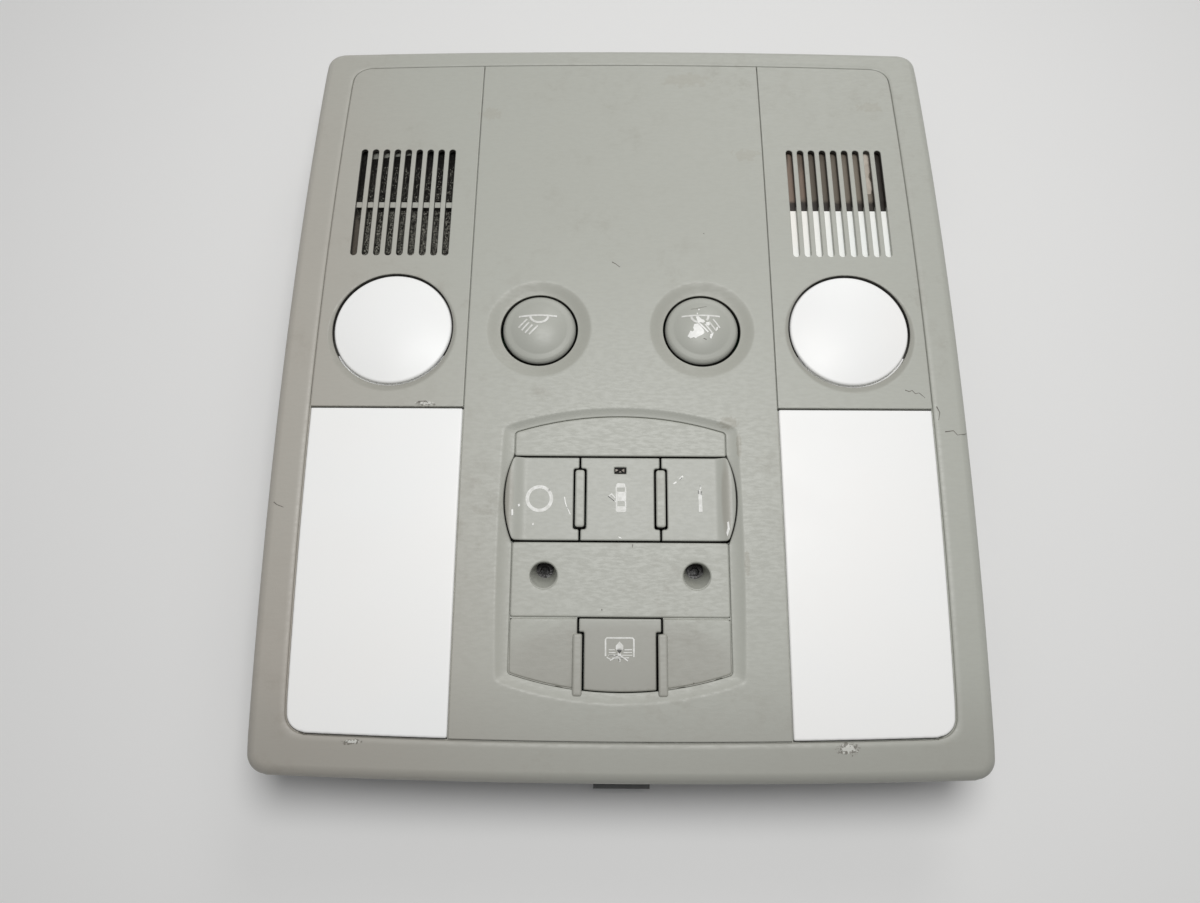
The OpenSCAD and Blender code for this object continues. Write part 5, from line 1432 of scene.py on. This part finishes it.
def platePiece(name, loop, depth, thick, material, edge=(0, 0)):
    form = shellMesh([densify(np.array(loop, float), 0.8)], below(depth), thick, edge, [], 3.0)
    finishPiece(name, form, material, "console", weighted=False)


refinedCopy("right_sensor", sensorBrown, 0.4)
platePiece("sensorFace", boxLoop(*sensor["face"]), sensor["below"], sensor["thick"], rustyFace,
           (0.4, 0.4))
platePiece("tornSticker", sensor["sticker"], sensor["stickerBelow"], sensor["stickerThick"],
           tornPaper)
platePiece("grilleBaffle", boxLoop(*sensor["baffle"]), grille["shell"] + 0.08, sensor["baffleThick"],
           creamInner)
platePiece("foamStrip", sensor["strip"], sensor["stripBelow"], sensor["stripThick"], dustyStrip)

# Crumbs on the foam: small balls thrown over its top, thicker towards the lower end, and none round the bar
# so the bare black foam paints its shadow
crumbs = {
    "x": (-88.5, -55.1), "below": 3.0, "size": 0.00013, "spread": (0.45, 1.3), "firstSeed": 3,
    "bands": ((37.0, 49.0, 7.0e6), (49.0, 57.0, 5.5e6), (61.0, 75.0, 2.6e6)),
}


def makeCrumbTree():
    tree, start, end = growingTree("foamCrumbs", {"Density": "Float", "Crumb Size": "Float", "Seed": "Int"})
    points = addNode(tree, "GeometryNodeDistributePointsOnFaces", {
        "Mesh": start.outputs["Geometry"], "Density": start.outputs["Density"],
        "Seed": start.outputs["Seed"]})
    ball = addNode(tree, "GeometryNodeMeshIcoSphere",
                   {"Radius": start.outputs["Crumb Size"], "Subdivisions": 1})
    low, high = crumbs["spread"]
    size = addNode(tree, "FunctionNodeRandomValue",
                   {2: low, 3: high, "Seed": start.outputs["Seed"]}, data_type="FLOAT")
    thrown = addNode(tree, "GeometryNodeInstanceOnPoints", {
        "Points": points.outputs["Points"], "Instance": ball.outputs["Mesh"], "Scale": size.outputs[1]})
    endTree(tree, start, end, thrown.outputs["Instances"])
    return tree


def makeCrumbs():
    tree = makeCrumbTree()
    for number, (y0, y1, density) in enumerate(crumbs["bands"]):
        ys = np.linspace(y0, y1, 7)
        rows = [(x * mm, y * mm, (float(faceZ(y)) - crumbs["below"]) * mm) for y in ys for x in crumbs["x"]]
        sheet = bpy.data.meshes.new("crumbSheet")
        sheet.from_pydata(rows, [], [(2 * i, 2 * i + 1, 2 * i + 3, 2 * i + 2) for i in range(len(ys) - 1)])
        values = {"Density": density, "Crumb Size": crumbs["size"], "Seed": number + crumbs["firstSeed"],
                  "Material": foamCrumb}
        growPiece(f"foamCrumbs{number + 1}", tree, values, "console", base=sheet)


makeCrumbs()

# Pins of the wiring socket: two rows of square pins with tapered tips
pins = {
    "inRow": 8, "rows": 2, "pitch": 2.54, "rowGap": 5.08, "width": 0.8, "tip": 0.7, "low": 7.0,
    "high": 14.4, "y": 36.0,
    "tipPart": 0.45,
}


def makePinTree():
    tree, start, end = growingTree("socketPins", {
        "Pins In Row": "Int", "Row Length": "Float", "Row Gap": "Float",
        "Half Diagonal": "Float", "Tip": "Float",
        "Length": "Float", "Place": "Vector"})
    given = start.outputs

    def cone(low, depth):
        return addNode(tree, "GeometryNodeMeshCone", {
            "Vertices": 4, "Radius Top": given["Half Diagonal"], "Radius Bottom": low,
            "Depth": depth}).outputs["Mesh"]

    def moved(geometry, key, value):
        return addNode(tree, "GeometryNodeTransform", {"Geometry": geometry, key: value}).outputs["Geometry"]

    grid = addNode(tree, "GeometryNodeMeshGrid", {
        "Size X": given["Row Length"], "Size Y": given["Row Gap"],
        "Vertices X": given["Pins In Row"], "Vertices Y": pins["rows"]}).outputs["Mesh"]
    shaft = cone(given["Half Diagonal"], maths(tree, "SUBTRACT", given["Length"], given["Tip"]))
    tip = cone(maths(tree, "MULTIPLY", given["Half Diagonal"], pins["tipPart"]), given["Tip"])
    shaft = moved(shaft, "Translation",
                  addNode(tree, "ShaderNodeCombineXYZ", {"Z": given["Tip"]}).outputs[0])
    pin = tree.nodes.new("GeometryNodeJoinGeometry")
    for part in (shaft, tip):
        tree.links.new(part, pin.inputs["Geometry"])
    turned = moved(pin.outputs["Geometry"], "Rotation", (0, 0, math.pi / 4))
    rows = addNode(tree, "GeometryNodeInstanceOnPoints", {
        "Points": moved(grid, "Translation", given["Place"]), "Instance": turned})
    endTree(tree, start, end, rows.outputs["Instances"])
    return tree


growPiece("socketPins", makePinTree(), {
    "Pins In Row": pins["inRow"], "Row Length": (pins["inRow"] - 1) * pins["pitch"] * mm,
    "Row Gap": pins["rowGap"] * mm, "Half Diagonal": pins["width"] / math.sqrt(2) * mm,
    "Tip": pins["tip"] * mm,
    "Length": (pins["high"] - pins["low"]) * mm, "Place": (0.0, pins["y"] * mm, pins["low"] * mm),
    "Material": pinBrass}, "console", ["socket_pins"])
print("sensor, foam and pins made")


# Floor and world
def makeFloor():
    half = studio["floorHalf"]
    mesh = bpy.data.meshes.new("floor")
    mesh.from_pydata([(-half, -half, 0), (half, -half, 0), (half, half, 0),
                      (-half, half, 0)], [], [(0, 1, 2, 3)])
    material, tree, shader = newMaterial("paleFloor", {"Roughness": 0.9, "Specular IOR Level": 0.1})
    cloud = noise(tree, objectPlace(tree), 3.0)
    feed(tree, shader, {"Base Color": mixColour(tree, cloud, (0.90, 0.90, 0.90, 1), (0.92, 0.92, 0.92, 1))})
    mesh.materials.append(material)
    linked("floor", mesh)


# White where the camera or a reflection sees it, dim as a light
def makeWorld():
    world = bpy.data.worlds.new("studio")
    bpy.context.scene.world = world
    world.use_nodes = True
    tree = world.node_tree
    back = tree.nodes["Background"]
    path = addNode(tree, "ShaderNodeLightPath").outputs
    mirrored = maths(tree, "MAXIMUM", path["Is Glossy Ray"], path["Is Transmission Ray"])
    seen = maths(tree, "MAXIMUM", path["Is Camera Ray"], mirrored)
    strength = addNode(tree, "ShaderNodeMapRange", {"Value": seen, "To Min": studio["world"], "To Max": 1.0})
    tree.links.new(strength.outputs[0], back.inputs["Strength"])
    back.inputs["Color"].default_value = (1, 1, 1, 1)


makeFloor()
makeWorld()
makeLamp("keyLight", studio["key"])
makeLamp("rimLight", studio["rim"])
makeCamera()
bpy.context.scene.view_settings.view_transform = "Standard"
print("scene ready")
